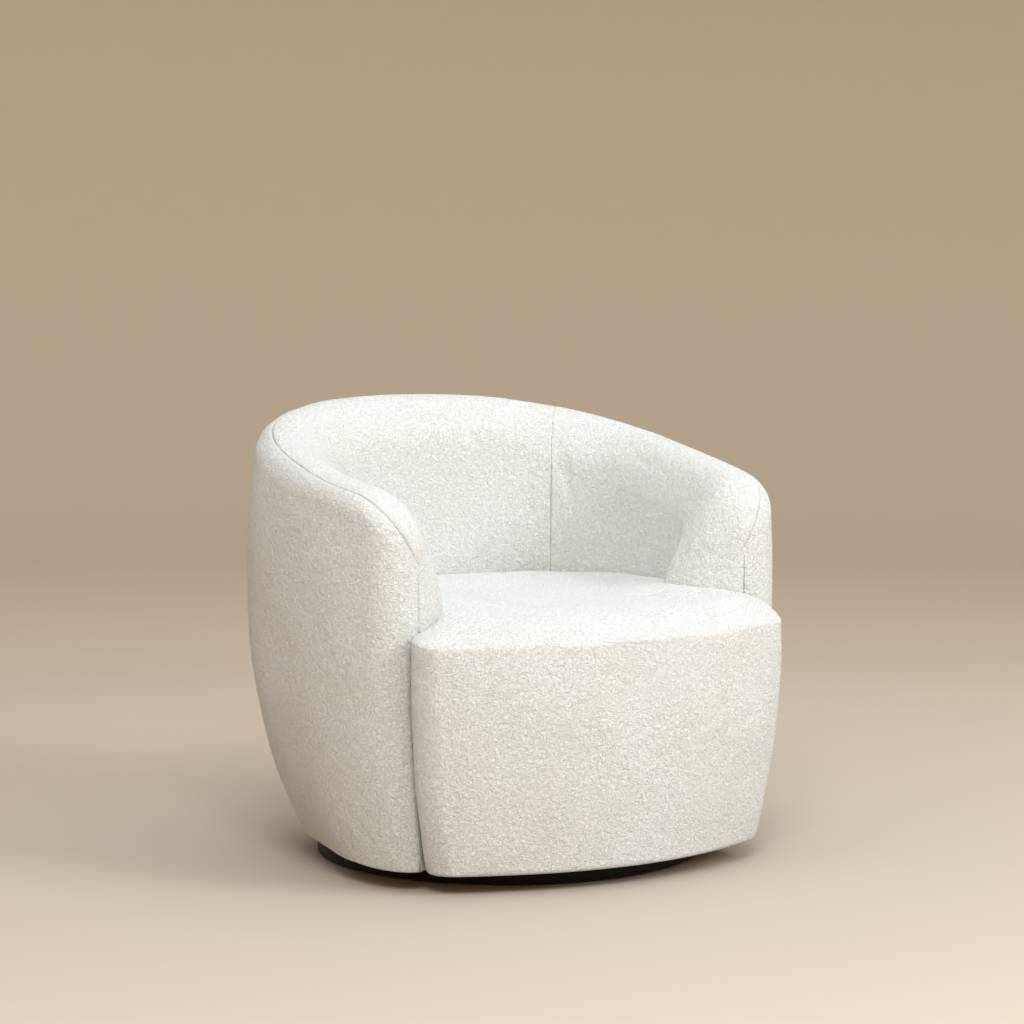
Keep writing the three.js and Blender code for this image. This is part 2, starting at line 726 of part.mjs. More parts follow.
const WIRE_HEIGHT = SEAT_RAIL_TOP + GAP + CLIP_SHEET + GAP + WIRE_RADIUS;

// The wire's end places over the middle of the front and back rails, at one distance from centre.
function springEnds(x) {
  const railMiddle = RAIL_THICKNESS / 2 + GAP;
  const boardDepth = APRON_TUCK_CENTRE + FRONT_BOARD_FACE + FRONT_BOARD_THICKNESS;
  const frontFace = frontY(x) + boardDepth + GAP;
  const rear = BACK.map((s) => place(s, RIB_INNER - railMiddle, 0)).sort((a, b) => a.x - b.x);
  const next = rear.findIndex((p) => p.x > x);
  const [a, b] = [rear[next - 1], rear[next]];
  const rearY = THREE.MathUtils.lerp(a.y, b.y, (x - a.x) / (b.x - a.x));
  return [frontFace + railMiddle, rearY];
}

// Sinuous wire: straight rungs joined by round ends, arched a little between the rails.
function springWire(x) {
  const [from, to] = springEnds(x);
  const rungs = 2 * Math.round((to - from) / SPRING_PITCH / 2) + 1;
  const points = [];
  for (let i = 0; i < rungs; i++) {
    const u = i / (rungs - 1);
    const y = THREE.MathUtils.lerp(from, to, u);
    const z = WIRE_HEIGHT + SPRING_ARCH * Math.sin(Math.PI * u);
    const side = i % 2 ? -1 : 1;
    points.push(new THREE.Vector3(x - side * SPRING_HALF_WIDTH * RUNG_SHARE, y, z));
    points.push(new THREE.Vector3(x + side * SPRING_HALF_WIDTH * RUNG_SHARE, y, z));
  }
  const path = new THREE.CatmullRomCurve3(points, false, "centripetal");
  const wire = new THREE.Shape().absarc(0, 0, WIRE_RADIUS, 0, 2 * Math.PI, false);
  return new THREE.ExtrudeGeometry(wire, {
    steps: 3 * rungs,
    curveSegments: 3,
    bevelEnabled: false,
    extrudePath: path,
  });
}

// A bent steel clip that holds the wire's end rung on a rail.
function springClip(x, y, facing) {
  const low = SEAT_RAIL_TOP + GAP;
  const floor = low + CLIP_SHEET;
  const roof = WIRE_HEIGHT + WIRE_RADIUS + GAP;
  const back = -(WIRE_RADIUS + CLIP_ROOM);
  const mouth = CLIP_LENGTH + back;
  const profile = [
    [back - CLIP_SHEET, low],
    [mouth, low],
    [mouth, floor],
    [back, floor],
    [back, roof],
    [WIRE_RADIUS + 1, roof],
    [WIRE_RADIUS + 1, roof + CLIP_SHEET],
    [back - CLIP_SHEET, roof + CLIP_SHEET],
  ];
  const shape = new THREE.Shape(profile.map(([u, v]) => new THREE.Vector2(u, v)));
  const clip = new THREE.ExtrudeGeometry(shape, { depth: CLIP_WIDTH, bevelEnabled: false });
  clip.translate(0, 0, -CLIP_WIDTH / 2);
  const along = new THREE.Vector3(0, facing, 0);
  const across = new THREE.Vector3().crossVectors(along, UP);
  const basis = new THREE.Matrix4().makeBasis(along, UP, across);
  return clip.applyMatrix4(basis.setPosition(x, y, 0));
}

function springs() {
  SPRING_PLACES.forEach((x, i) => {
    const [from, to] = springEnds(x);
    add(`seat_spring_${i + 1}`, springWire(x), SPRING_STEEL);
    add(`front_clip_${i + 1}`, springClip(x, from, 1), ZINC_STEEL);
    add(`rear_clip_${i + 1}`, springClip(x, to, -1), ZINC_STEEL);
  });
}

// ---------------------------------------------------------------- plinth and swivel

const LOWER_PLATE_TOP = DECK_TOP + GAP + PLATE_THICKNESS;
const UPPER_PLATE_TOP = BASE_BOARD_BOTTOM - GAP;
const UPPER_PLATE_BOTTOM = UPPER_PLATE_TOP - PLATE_THICKNESS;
const BALL_HEIGHT = (LOWER_PLATE_TOP + UPPER_PLATE_BOTTOM) / 2;
const LIP_HEIGHT = BALL_HEIGHT - LOWER_PLATE_TOP - CAGE_THICKNESS / 2 - BALL_CLEARANCE;

// A pressed swivel plate with two low lips that keep the balls on their circle.
function swivelPlate(face, outward, holeRadius) {
  const lip = face + outward * LIP_HEIGHT;
  const back = face - outward * PLATE_THICKNESS;
  const inside = BALL_CIRCLE - BALL_RADIUS - BALL_CLEARANCE;
  const outside = BALL_CIRCLE + BALL_RADIUS + BALL_CLEARANCE;
  const plate = turned([
    [PIVOT_RADIUS + PIVOT_CLEARANCE, back],
    [PLATE_RADIUS, back],
    [PLATE_RADIUS, face],
    [outside + RACE_LIP, face],
    [outside + RACE_LIP, lip],
    [outside, lip],
    [outside, face],
    [inside, face],
    [inside, lip],
    [inside - RACE_LIP, lip],
    [inside - RACE_LIP, face],
    [PIVOT_RADIUS + PIVOT_CLEARANCE, face],
  ]);
  const drills = boltPlaces().map(([x, y]) => {
    const length = 6 * PLATE_THICKNESS;
    const drill = new THREE.CylinderGeometry(holeRadius, holeRadius, length, SMALL_STEPS);
    return drill.rotateX(Math.PI / 2).translate(x, y, face);
  });
  return cut(plate, drills);
}

function boltPlaces() {
  const places = [];
  for (let i = 0; i < 4; i++) {
    const angle = (i + 0.5) * (Math.PI / 2);
    places.push([SCREW_CIRCLE * Math.cos(angle), SCREW_CIRCLE * Math.sin(angle)]);
  }
  return places;
}

// A flat ring with the balls it carries, which rolls between the two plates.
function ballCage() {
  const low = BALL_HEIGHT - CAGE_THICKNESS / 2;
  const high = BALL_HEIGHT + CAGE_THICKNESS / 2;
  const pieces = [
    turned([
      [BALL_CIRCLE - CAGE_HALF_WIDTH, low],
      [BALL_CIRCLE + CAGE_HALF_WIDTH, low],
      [BALL_CIRCLE + CAGE_HALF_WIDTH, high],
      [BALL_CIRCLE - CAGE_HALF_WIDTH, high],
    ]),
  ];
  for (let i = 0; i < BALL_COUNT; i++) {
    const angle = (2 * Math.PI * i) / BALL_COUNT;
    const ball = new THREE.SphereGeometry(BALL_RADIUS, SMALL_STEPS, SMALL_STEPS / 2);
    ball.translate(BALL_CIRCLE * Math.cos(angle), BALL_CIRCLE * Math.sin(angle), BALL_HEIGHT);
    pieces.push(ball);
  }
  return joined(pieces);
}

// A screw or bolt on +Z: its head's underside at height 0 and its shank above it.
function fastener(headRadius, headHeight, shankRadius, length) {
  return turned(
    [
      [0, -headHeight],
      [headRadius * 0.8, -headHeight],
      [headRadius, -headHeight * 0.5],
      [headRadius, 0],
      [shankRadius, 0],
      [shankRadius, length],
      [0, length],
    ],
    SMALL_STEPS,
  );
}

function pivotRivet() {
  const low = DECK_TOP;
  const high = UPPER_PLATE_TOP + PIVOT_CLEARANCE;
  return turned(
    [
      [0, low - PIVOT_HEAD_HEIGHT],
      [PIVOT_HEAD_RADIUS, low - PIVOT_HEAD_HEIGHT],
      [PIVOT_HEAD_RADIUS, low],
      [PIVOT_RADIUS, low],
      [PIVOT_RADIUS, high],
      [PIVOT_HEAD_RADIUS, high],
      [PIVOT_HEAD_RADIUS, high + PIVOT_HEAD_HEIGHT],
      [0, high + PIVOT_HEAD_HEIGHT],
    ],
    2 * SMALL_STEPS,
  );
}

function plinth() {
  const inner = PLINTH_RADIUS - PLINTH_WALL;
  const ring = turned(
    [
      [inner, GLIDE_HEIGHT + GAP],
      [PLINTH_RADIUS, GLIDE_HEIGHT + GAP],
      [PLINTH_RADIUS, PLINTH_TOP],
      [inner, PLINTH_TOP],
    ],
    PLINTH_STEPS,
  );
  add("plinth_ring", ring, BLACK_PAINT);
  const disc = new THREE.Path().absarc(0, 0, inner - GAP - 1, 0, 2 * Math.PI, false);
  const holes = [roundHole(0, 0, DECK_HOLE)];
  for (const [x, y] of boltPlaces()) holes.push(roundHole(x, y, SCREW_RADIUS + SCREW_CLEARANCE));
  const deckOutline = disc.getPoints(ROUND_STEPS).slice(0, -1);
  const deck = board(deckOutline, holes, DECK_TOP - DECK_THICKNESS, DECK_THICKNESS);
  add("plinth_deck", deck, BLACK_PAINT);
  for (let i = 0; i < GLIDE_COUNT; i++) {
    const angle = (2 * Math.PI * (i + 0.5)) / GLIDE_COUNT;
    const glide = turned(
      [
        [0, 0],
        [GLIDE_RADIUS - 1, 0],
        [GLIDE_RADIUS, 1],
        [GLIDE_RADIUS, GLIDE_HEIGHT],
        [0, GLIDE_HEIGHT],
      ],
      2 * SMALL_STEPS,
    );
    const mesh = add(`glide_${i + 1}`, glide, BLACK_NYLON);
    const circle = PLINTH_RADIUS - PLINTH_WALL / 2;
    mesh.position.set(circle * Math.cos(angle), circle * Math.sin(angle), 0);
  }
}

function swivel() {
  const lowerHole = SCREW_RADIUS + SCREW_CLEARANCE;
  const upperHole = BOLT_RADIUS + SCREW_CLEARANCE;
  add("swivel_lower_plate", swivelPlate(LOWER_PLATE_TOP, 1, lowerHole), ZINC_STEEL);
  add("swivel_upper_plate", swivelPlate(UPPER_PLATE_BOTTOM, -1, upperHole), ZINC_STEEL);
  add("ball_cage", ballCage(), ZINC_STEEL);
  add("pivot_rivet", pivotRivet(), ZINC_STEEL);
  boltPlaces().forEach(([x, y], i) => {
    const screwShape = fastener(SCREW_HEAD_RADIUS, SCREW_HEAD_HEIGHT, SCREW_RADIUS, SCREW_LENGTH);
    const screw = add(`deck_screw_${i + 1}`, screwShape, ZINC_STEEL);
    screw.rotation.x = Math.PI;
    screw.position.set(x, y, LOWER_PLATE_TOP + GAP);
    const boltShape = fastener(SCREW_HEAD_RADIUS, SCREW_HEAD_HEIGHT, BOLT_RADIUS, BOLT_LENGTH);
    const bolt = add(`frame_bolt_${i + 1}`, boltShape, ZINC_STEEL);
    bolt.position.set(x, y, UPPER_PLATE_BOTTOM - GAP);
  });
}

plinth();
swivel();
timberFrame();
springs();
seatUpholstery();
tubUpholstery();

export default chair;
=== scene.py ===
"""A swivel tub chair in looped boucle: covers, seat, plinth, swivel and studio.

The shared frame gives the bodies, boxes and inner parts. Shapes are worked out in millimetres
and made in metres. +Z is up, the seat faces -Y, and the sitter's left is +X.
"""

import itertools
import json
import logging
import math
from dataclasses import dataclass, field, replace
from enum import Enum
from typing import Any, Iterable, Optional, Sequence

import bmesh
import bpy
import numpy as np
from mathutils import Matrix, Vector


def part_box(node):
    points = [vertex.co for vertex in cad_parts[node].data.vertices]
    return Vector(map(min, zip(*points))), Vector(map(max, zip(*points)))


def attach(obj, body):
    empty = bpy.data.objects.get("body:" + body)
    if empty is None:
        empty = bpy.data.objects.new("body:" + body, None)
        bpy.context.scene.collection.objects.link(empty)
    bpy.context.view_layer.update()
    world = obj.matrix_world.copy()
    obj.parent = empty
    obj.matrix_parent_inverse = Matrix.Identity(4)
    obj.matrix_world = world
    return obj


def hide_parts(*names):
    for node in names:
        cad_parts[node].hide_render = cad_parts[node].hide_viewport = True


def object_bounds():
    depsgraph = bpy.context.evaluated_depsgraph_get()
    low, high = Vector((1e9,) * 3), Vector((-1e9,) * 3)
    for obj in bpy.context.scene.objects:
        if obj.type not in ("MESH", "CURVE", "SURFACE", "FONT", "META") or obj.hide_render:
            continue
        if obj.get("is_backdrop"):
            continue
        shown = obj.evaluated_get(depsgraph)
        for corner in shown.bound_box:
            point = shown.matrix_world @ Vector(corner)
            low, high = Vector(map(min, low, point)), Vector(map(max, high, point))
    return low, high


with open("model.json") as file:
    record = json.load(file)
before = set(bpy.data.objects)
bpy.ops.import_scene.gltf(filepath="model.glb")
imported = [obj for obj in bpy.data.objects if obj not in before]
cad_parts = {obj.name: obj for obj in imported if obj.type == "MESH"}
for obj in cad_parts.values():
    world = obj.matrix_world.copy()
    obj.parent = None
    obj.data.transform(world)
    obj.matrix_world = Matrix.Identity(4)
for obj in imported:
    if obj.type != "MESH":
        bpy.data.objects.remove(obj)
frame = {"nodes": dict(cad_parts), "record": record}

LOG = logging.getLogger("tub_chair")
MM = 0.001
FINE_STEP = 3.0  # mm between the points of a cover
SEAM_MARKS = (0.0, 0.5, 1.1, 1.9, 3.0, 4.4)  # mm from a seam, where points crowd
FORM_ROWS = 44  # size of the coarse copy that is filled as cloth
FORM_POINTS = 34
CLOTH_PRESSURE = 4.0
CLOTH_FRAMES = 14
TURN_FADE = 25.0  # mm of height over which a turn fades in
TURN_CALM = 0.65  # share of the loops pressed flat beside a seam
TURN_CALM_REACH = 1.2


class Body(Enum):
    """The moving body that carries every cover."""

    CHAIR = "chair"


class Slot(Enum):
    """The finishes that the record names."""

    BOUCLE = "boucle_upholstery"
    PAINT = "black_plinth_paint"
    NYLON = "black_nylon"
    ZINC = "zinc_steel"
    SPRING = "spring_steel"
    PLYWOOD = "plywood"
    HARDWOOD = "hardwood"
    DECK = "deck_cloth"


class Edge(Enum):
    """The four edges of a cover's grid."""

    FIRST_ROW = 0
    LAST_ROW = 1
    FIRST_POINT = 2
    LAST_POINT = 3


# ------------------------------------------------------------------ small numeric helpers


def smooth(t: np.ndarray) -> np.ndarray:
    """The smooth step from 0 to 1."""
    return t * t * (3 - 2 * t)


def clamp01(t: np.ndarray) -> np.ndarray:
    """The value held between 0 and 1."""
    return np.clip(t, 0.0, 1.0)


def spaced(length: float, step: float, seam_first: bool, seam_last: bool) -> np.ndarray:
    """Shares from 0 to 1 at an even step, drawn together next to a seam.

    Args:
        length: length of the line in mm.
        step: even step in mm.
        seam_first: whether the line starts at a seam.
        seam_last: whether the line ends at a seam.

    Returns:
        Rising shares of the length.
    """
    count = max(4, int(round(length / step)))
    even = np.linspace(0.0, length, count + 1)
    near = list(SEAM_MARKS)
    marks = list(even)
    if seam_first:
        marks = near + [m for m in marks if m > near[-1] + step * 0.6]
    if seam_last:
        tail = [length - n for n in reversed(near)]
        marks = [m for m in marks if m < tail[0] - step * 0.6] + tail
    return np.array(marks) / length


def rounded_over(distance: np.ndarray, radius: float, depth: float) -> np.ndarray:
    """How far a surface falls away near an edge that turns in.

    Args:
        distance: distance from the edge in mm.
        radius: distance over which the surface turns, in mm.
        depth: fall at the edge itself, in mm.

    Returns:
        The fall in mm, 0 beyond the radius.
    """
    t = 1.0 - clamp01(distance / radius)
    return depth * (1.0 - np.sqrt(np.maximum(0.0, 1.0 - t * t)))


def cell_noise(points: np.ndarray, size: Sequence[float], seed: int) -> np.ndarray:
    """Distance to the nearest of one random point in each cell.

    Args:
        points: places in mm, one row each.
        size: the cell's size in mm along X, Y and Z.
        seed: which set of random points.

    Returns:
        Distances as a share of the cell, about 0 to 1.
    """
    q = points / np.asarray(size)
    base = np.floor(q).astype(np.int64)
    best = np.full(len(q), 9.0)
    for shift in itertools.product((-1, 0, 1), repeat=3):
        cell = base + np.array(shift)
        mix = cell[:, 0] * 374761393 + cell[:, 1] * 668265263 + cell[:, 2] * 1274126177
        mix = (mix + seed * 2246822519) & 0x7FFFFFFF
        mix = ((mix ^ (mix >> 13)) * 1103515245) & 0x7FFFFFFF
        total = np.zeros(len(q))
        for axis in range(3):
            mix = ((mix ^ (mix >> 15)) * 1103515245 + 12345) & 0x7FFFFFFF
            jitter = ((mix >> 8) & 0xFFFF) / 65536.0
            total += (q[:, axis] - cell[:, axis] - jitter) ** 2
        best = np.minimum(best, total)
    return np.sqrt(best)


def wave_noise(points: np.ndarray, size: float, seed: int) -> np.ndarray:
    """A soft random swell from -1 to 1, a sum of sine waves in random directions.

    Args:
        points: places in mm, one row each.
        size: typical width of a swell in mm.
        seed: which set of waves.

    Returns:
        One height for each place.
    """
    rng = np.random.default_rng(seed)
    total = np.zeros(len(points))
    count = 9
    for _ in range(count):
        way = rng.normal(size=3)
        way *= math.pi / (size * np.linalg.norm(way)) * rng.uniform(0.6, 1.4)
        total += np.sin(points @ way + rng.uniform(0, 2 * math.pi))
    return total / math.sqrt(count)


def linear(colour: str) -> tuple[float, float, float, float]:
    """A linear RGBA colour from an sRGB hex value.

    Args:
        colour: six hex digits after a hash.

    Returns:
        Linear red, green and blue with full alpha.
    """
    parts = [int(colour[i : i + 2], 16) / 255 for i in (1, 3, 5)]
    rgb = [p / 12.92 if p <= 0.04045 else ((p + 0.055) / 1.055) ** 2.4 for p in parts]
    return (rgb[0], rgb[1], rgb[2], 1.0)


# ------------------------------------------------------------------ materials


def add_node(
    tree: bpy.types.NodeTree,
    kind: str,
    settings: Optional[dict[str, Any]] = None,
    inputs: Optional[dict[Any, Any]] = None,
) -> bpy.types.Node:
    """Adds a node with its settings and links.

    Args:
        tree: the tree that gets the node.
        kind: the node's type name.
        settings: attributes to set.
        inputs: values or sockets for its inputs, by name or number.

    Returns:
        The new node.
    """
    made = tree.nodes.new(kind)
    for name, value in (settings or {}).items():
        setattr(made, name, value)
    for name, value in (inputs or {}).items():
        if isinstance(value, bpy.types.NodeSocket):
            tree.links.new(value, made.inputs[name])
        else:
            made.inputs[name].default_value = value
    return made


def set_ramp(ramp: bpy.types.Node, stops: Sequence[tuple[float, str]]) -> None:
    """Sets a colour ramp's stops.

    Args:
        ramp: the ramp node.
        stops: places from 0 to 1 with sRGB hex colours.
    """
    marks = ramp.color_ramp.elements
    while len(marks) < len(stops):
        marks.new(0.5)
    for mark, (place, colour) in zip(marks, stops):
        mark.position = place
        mark.color = linear(colour)


def add_ramp(
    tree: bpy.types.NodeTree, value: bpy.types.NodeSocket, stops: Sequence[tuple[float, str]]
) -> bpy.types.Node:
    """Adds a colour ramp.

    Args:
        tree: the tree that gets it.
        value: what it reads.
        stops: places from 0 to 1 with sRGB hex colours.

    Returns:
        The ramp.
    """
    ramp = add_node(tree, "ShaderNodeValToRGB", None, {"Fac": value})
    set_ramp(ramp, stops)
    return ramp


def add_noise(
    tree: bpy.types.NodeTree, place: bpy.types.NodeSocket, scale: float, detail: float
) -> bpy.types.Node:
    """Adds cloudy noise.

    Args:
        tree: the tree that gets it.
        place: the place on the object.
        scale: clouds in a metre, about.
        detail: how many finer layers it has.

    Returns:
        The noise.
    """
    inputs = {"Vector": place, "Scale": scale, "Detail": detail}
    return add_node(tree, "ShaderNodeTexNoise", None, inputs)


def add_bump(
    tree: bpy.types.NodeTree, height: bpy.types.NodeSocket, strength: float, distance: float
) -> bpy.types.Node:
    """Adds a bump.

    Args:
        tree: the tree that gets it.
        height: the relief.
        strength: share of the relief that shows.
        distance: depth of the relief in metres.

    Returns:
        The bump.
    """
    inputs = {"Strength": strength, "Distance": distance, "Height": height}
    return add_node(tree, "ShaderNodeBump", None, inputs)


@dataclass(frozen=True)
class Finish:
    """What every finish shares: a name, a shader and how to start its tree."""

    name: str = "finish"

    def begin(self) -> tuple[bpy.types.Material, bpy.types.NodeTree, bpy.types.Node, Any]:
        """An empty node material.

        Returns:
            The material, its tree, its shader and the place on the object in metres.
        """
        made = bpy.data.materials.new(self.name)
        made.use_nodes = True
        tree = made.node_tree
        tree.nodes.clear()
        shader = add_node(tree, "ShaderNodeBsdfPrincipled")
        add_node(tree, "ShaderNodeOutputMaterial", None, {"Surface": shader.outputs[0]})
        place = add_node(tree, "ShaderNodeTexCoord").outputs["Object"]
        return made, tree, shader, place


@dataclass(frozen=True)
class BoucleFabric(Finish):
    """Looped wool and polyester boucle, woven and then felted a little.

    Small tight loops whose colour is painted paler on their tops and darker between them,
    a painted highlight and painted shade that follow the relief, with a faint halo of loose
    fibre at a grazing look.
    """

    name: str = "boucle_looped_wool"
    loop_mm: float = 7.0
    curl_mm: float = 4.3  # real curls are about 2 mm; drawn coarser so that they show
    # loop colours by relief height: top is a painted highlight on the loop crowns, gap is painted
    # shade between the loops, body lies in between
    top: str = "#F6F6F0"
    body: str = "#F3F3EE"
    gap: str = "#E4E3D9"

    def material(self) -> bpy.types.Material:
        """Builds the fabric.

        Returns:
            The finished material.
        """
        made, tree, shader, place = self.begin()
        curls = add_node(
            tree,
            "ShaderNodeTexNoise",
            None,
            {
                "Vector": place,
                "Scale": 1000.0 / self.curl_mm,
                "Detail": 3.0,
                "Roughness": 0.62,
                "Distortion": 1.4,
            },
        )
        loops = add_node(
            tree,
            "ShaderNodeTexVoronoi",
            {"feature": "SMOOTH_F1"},
            {"Vector": place, "Scale": 1000.0 / self.loop_mm, "Smoothness": 0.6},
        )
        height = add_node(
            tree,
            "ShaderNodeMath",
            {"operation": "MULTIPLY_ADD"},
            {0: loops.outputs["Distance"], 1: -0.25, 2: curls.outputs[0]},
        )
        # painted light and shade: the colour runs from the gap colour between the loops to the top
        # colour on the crowns, following the relief height
        shade = add_ramp(tree, height.outputs[0], [(0.1, self.gap), (0.3, self.body), (0.5, self.top)])
        dye = add_noise(tree, place, 9.0, 3.0)
        tone = add_ramp(tree, dye.outputs[0], [(0.3, "#FCFBF8"), (0.7, "#FFFFFF")])
        colour = add_node(
            tree,
            "ShaderNodeMix",
            {"data_type": "RGBA", "blend_type": "MULTIPLY"},
            {0: 1.0, 6: shade.outputs[0], 7: tone.outputs[0]},
        )
        bump = add_bump(tree, height.outputs[0], 1.0, 0.0060)
        tree.links.new(colour.outputs[2], shader.inputs["Base Color"])
        tree.links.new(bump.outputs[0], shader.inputs["Normal"])
        shader.inputs["Roughness"].default_value = 0.96
        shader.inputs["Specular IOR Level"].default_value = 0.2
        shader.inputs["Sheen Weight"].default_value = 0.25
        shader.inputs["Sheen Roughness"].default_value = 0.6
        return made


@dataclass(frozen=True)
class PaintedWood(Finish):
    """Bent plywood ring sprayed with satin black paint.

    The paint hides the grain but leaves a faint orange-peel ripple and paler worn patches at random.
    """

    name: str = "painted_wood_satin_black"
    paint: str = "#0C0B0A"
    worn: str = "#1A1714"

    def material(self) -> bpy.types.Material:
        """Builds the paint.

        Returns:
            The finished material.
        """
        made, tree, shader, place = self.begin()
        dust = add_noise(tree, place, 45.0, 6.0)
        shade = add_ramp(tree, dust.outputs[0], [(0.45, self.paint), (0.85, self.worn)])
        gloss = add_node(
            tree,
            "ShaderNodeMapRange",
            None,
            {"Value": dust.outputs[0], "To Min": 0.42, "To Max": 0.6},
        )
        peel = add_noise(tree, place, 400.0, 2.0)
        bump = add_bump(tree, peel.outputs[0], 0.15, 0.0004)
        tree.links.new(shade.outputs[0], shader.inputs["Base Color"])
        tree.links.new(gloss.outputs[0], shader.inputs["Roughness"])
        tree.links.new(bump.outputs[0], shader.inputs["Normal"])
        shader.inputs["Specular IOR Level"].default_value = 0.2
        return made


@dataclass(frozen=True)
class MouldedNylon(Finish):
    """Injection-moulded nylon, spark-textured, with a slightly scuffed face."""

    name: str = "nylon_moulded_black"
    colour: str = "#1C1B1A"
    scuffed: str = "#3A3936"
    grit_mm: float = 0.6

    def material(self) -> bpy.types.Material:
        """Builds the plastic.

        Returns:
            The finished material.
        """
        made, tree, shader, place = self.begin()
        scuff = add_noise(tree, place, 90.0, 8.0)
        shade = add_ramp(tree, scuff.outputs[0], [(0.5, self.colour), (0.8, self.scuffed)])
        grit = add_noise(tree, place, 1000.0 / self.grit_mm, 1.0)
        bump = add_bump(tree, grit.outputs[0], 0.3, 0.0002)
        tree.links.new(shade.outputs[0], shader.inputs["Base Color"])
        tree.links.new(bump.outputs[0], shader.inputs["Normal"])
        shader.inputs["Roughness"].default_value = 0.58
        shader.inputs["IOR"].default_value = 1.53
        return made


@dataclass(frozen=True)
class BareSteel(Finish):
    """Steel sheet or wire: bright zinc plate, or dark oil-tempered spring wire.

    Plating shows a cloudy spangle. Drawn wire shows an oily brown tint.
    """

    name: str = "steel_zinc_plated"
    bright: str = "#C3C6C9"
    dull: str = "#8E9296"
    roughness: float = 0.34
    spangle_mm: float = 7.0

    def material(self) -> bpy.types.Material:
        """Builds the metal.

        Returns:
            The finished material.
        """
        made, tree, shader, place = self.begin()
        spangle = add_node(
            tree,
            "ShaderNodeTexVoronoi",
            None,
            {"Vector": place, "Scale": 1000.0 / self.spangle_mm},
        )
        cloud = add_noise(tree, place, 60.0, 5.0)
        both = add_node(
            tree,
            "ShaderNodeMix",
            {"data_type": "RGBA", "blend_type": "OVERLAY"},
            {0: 0.35, 6: cloud.outputs[0], 7: spangle.outputs["Color"]},
        )
        shade = add_ramp(tree, both.outputs[2], [(0.3, self.dull), (0.7, self.bright)])
        gloss = add_node(
            tree,
            "ShaderNodeMapRange",
            None,
            {
                "Value": cloud.outputs[0],
                "To Min": self.roughness * 0.8,
                "To Max": self.roughness * 1.3,
            },
        )
        tree.links.new(shade.outputs[0], shader.inputs["Base Color"])
        tree.links.new(gloss.outputs[0], shader.inputs["Roughness"])
        shader.inputs["Metallic"].default_value = 1.0
        return made


@dataclass(frozen=True)
class SawnTimber(Finish):
    """Birch ply or sawn beech left bare: long grain, pores and a slight saw fuzz."""

    name: str = "beech_sawn"
    early: str = "#CDA878"
    late: str = "#A67C4E"
    ring_mm: float = 9.0

    def material(self) -> bpy.types.Material:
        """Builds the timber.

        Returns:
            The finished material.
        """
        made, tree, shader, place = self.begin()
        along = add_node(
            tree, "ShaderNodeMapping", None, {"Vector": place, "Scale": (1.0, 1.0, 0.22)}
        )
        rings = add_node(
            tree,
            "ShaderNodeTexWave",
            {"wave_type": "RINGS", "rings_direction": "Z"},
            {
                "Vector": along.outputs[0],
                "Scale": 1000.0 / self.ring_mm / 20,
                "Distortion": 6.0,
                "Detail": 3.0,
            },
        )
        pores = add_noise(tree, along.outputs[0], 900.0, 3.0)
        shade = add_ramp(tree, rings.outputs["Color"], [(0.2, self.early), (0.9, self.late)])
        bump = add_bump(tree, pores.outputs[0], 0.3, 0.0003)
        tree.links.new(shade.outputs[0], shader.inputs["Base Color"])
        tree.links.new(bump.outputs[0], shader.inputs["Normal"])
        shader.inputs["Roughness"].default_value = 0.72
        return made


@dataclass(frozen=True)
class WovenDeckCloth(Finish):
    """Plain-woven polypropylene cloth stretched over the springs, dark, with painted highlights on the
    threads and painted shade between them.
    """

    name: str = "polypropylene_woven_black"
    thread_mm: float = 1.6
    # weave colours: a painted highlight on the thread crowns and painted shade in the gaps between
    # threads
    painted_thread_highlight: str = "#4A4744"
    painted_weave_shade: str = "#1E1C1B"

    def material(self) -> bpy.types.Material:
        """Builds the cloth.

        Returns:
            The finished material.
        """
        made, tree, shader, place = self.begin()
        scale = 1000.0 / self.thread_mm / 20
        threads = [
            add_node(
                tree,
                "ShaderNodeTexWave",
                {"wave_type": "BANDS", "bands_direction": way},
                {"Vector": place, "Scale": scale},
            ).outputs["Color"]
            for way in ("X", "Y")
        ]
        weave = add_node(
            tree,
            "ShaderNodeMath",
            {"operation": "MULTIPLY"},
            {0: threads[0], 1: threads[1]},
        )
        # painted light and shade in the weave: paler where the threads rise, darker between them
        shade = add_ramp(tree, weave.outputs[0], [(0.1, self.painted_weave_shade), (0.8, self.painted_thread_highlight)])
        bump = add_bump(tree, weave.outputs[0], 0.5, 0.0004)
        tree.links.new(shade.outputs[0], shader.inputs["Base Color"])
        tree.links.new(bump.outputs[0], shader.inputs["Normal"])
        shader.inputs["Roughness"].default_value = 0.92
        return made


